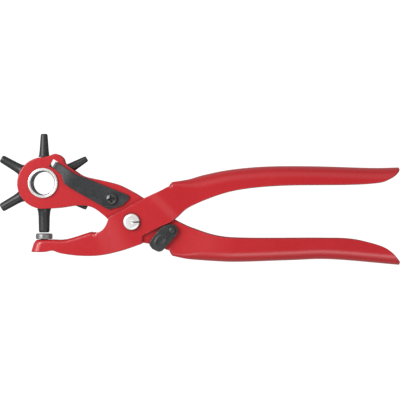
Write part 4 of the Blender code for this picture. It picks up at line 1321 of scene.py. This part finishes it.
catch_line = np.array([-0.64, -0.77])
catch_line = catch_line / np.linalg.norm(catch_line)
catch_across = np.array([catch_line[1], -catch_line[0]])
catch_thick = 1.5 * mm
catch_level = neck_face + fit + 0.4 * mm + fit + catch_thick / 2
high_pairs = [(-3.3, 0.0), (-2.4, 2.3), (0.6, 4.6), (3.6, 5.5)]
high_pairs += [(8.0, 5.6), (12.0, 5.4), (13.9, 4.6), (14.8, 1.9)]
low_pairs = [(-3.3, 0.0), (-2.4, -2.3), (-0.3, -3.4), (5.0, -3.5)]
low_pairs += [(10.2, -3.3), (12.3, -3.0), (13.9, -1.6), (14.8, 1.9)]
catch_high, catch_low = spline(np.array(high_pairs) * mm), spline(np.array(low_pairs) * mm)


def catch_lift(along, across):
    """The boss: an oval ridge with a hollow, as a bump of the oval's own radius."""
    a, b = along - 8.2 * mm, across - 1.1 * mm
    lean = np.radians(-9.0)
    major = a * np.cos(lean) - b * np.sin(lean)
    minor = a * np.sin(lean) + b * np.cos(lean)
    radius = np.sqrt((major / (4.6 * mm)) ** 2 + (minor / (2.9 * mm)) ** 2)
    ridge = ease(radius, 1.0, 0.72) - 1.3 * ease(radius, 0.7, 0.4)
    return 0.7 * mm * ridge


def catch_place(along, across, height):
    """Lays the catch's own directions out in the frame, at its level."""
    flat = catch_rivet_at + along[..., None] * catch_line + across[..., None] * catch_across
    return np.concatenate([flat, (mid + catch_level + height)[..., None]], -1)


x = stations_over(catch_high[0, 0] + 0.05 * mm, catch_high[-1, 0] - 0.05 * mm, [], 0.25 * mm)
round_steps = 3 * mm * (1 - np.cos(np.radians(np.arange(0, 60, 3))))
x = np.unique(np.concatenate([x, x[0] + round_steps, x[-1] - round_steps]))
catch = flat_plate(
    "catch_plate",
    x,
    -height_on(catch_low, x),
    -height_on(catch_high, x),
    catch_thick,
    lambda along, across: catch_lift(along, -across),
    lambda along, across, height: catch_place(along, -across, height),
    spring_black,
    40,
)
cut(catch, [rods("rivet_hole", [upright(catch_rivet_at, 0.0, through)], rivet_hole)])
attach(catch, "catch")
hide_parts("catch_lever")

# ---- Catch rivet
# A small blackened rivet, domed outside and upset inside the cheek, over a steel washer.

rivet_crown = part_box("catch_rivet")[1].z - mid
rivet_seat = rivet_crown - 0.8 * mm
rivet_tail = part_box("catch_rivet")[0].z - mid
rivet_profile = [
    (0.0, rivet_crown),
    (0.9 * mm, rivet_crown - 0.12 * mm),
    (1.6 * mm, rivet_crown - 0.45 * mm),
    (1.8 * mm, rivet_seat),
    (1.1 * mm, rivet_seat),
    (1.1 * mm, wheel_half),
    (1.8 * mm, wheel_half),
    (1.4 * mm, rivet_tail),
    (0.0, rivet_tail),
]
catch_rivet = turned(
    "catch_rivet_dome", rounded(rivet_profile, 0.2 * mm, False), black_oxide, (*catch_rivet_at, mid), sides=64
)
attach(catch_rivet, "wheel_arm_body")
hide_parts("catch_rivet")

# ---- Spacer, sleeve and washer
# Plain turned steel rings, hidden between the cheeks or under the catch, as machined.

for node in ("index_spring_spacer", "pivot_sleeve", "catch_washer"):
    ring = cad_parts[node]
    for place in ring.material_slots:
        place.material = plain_steel
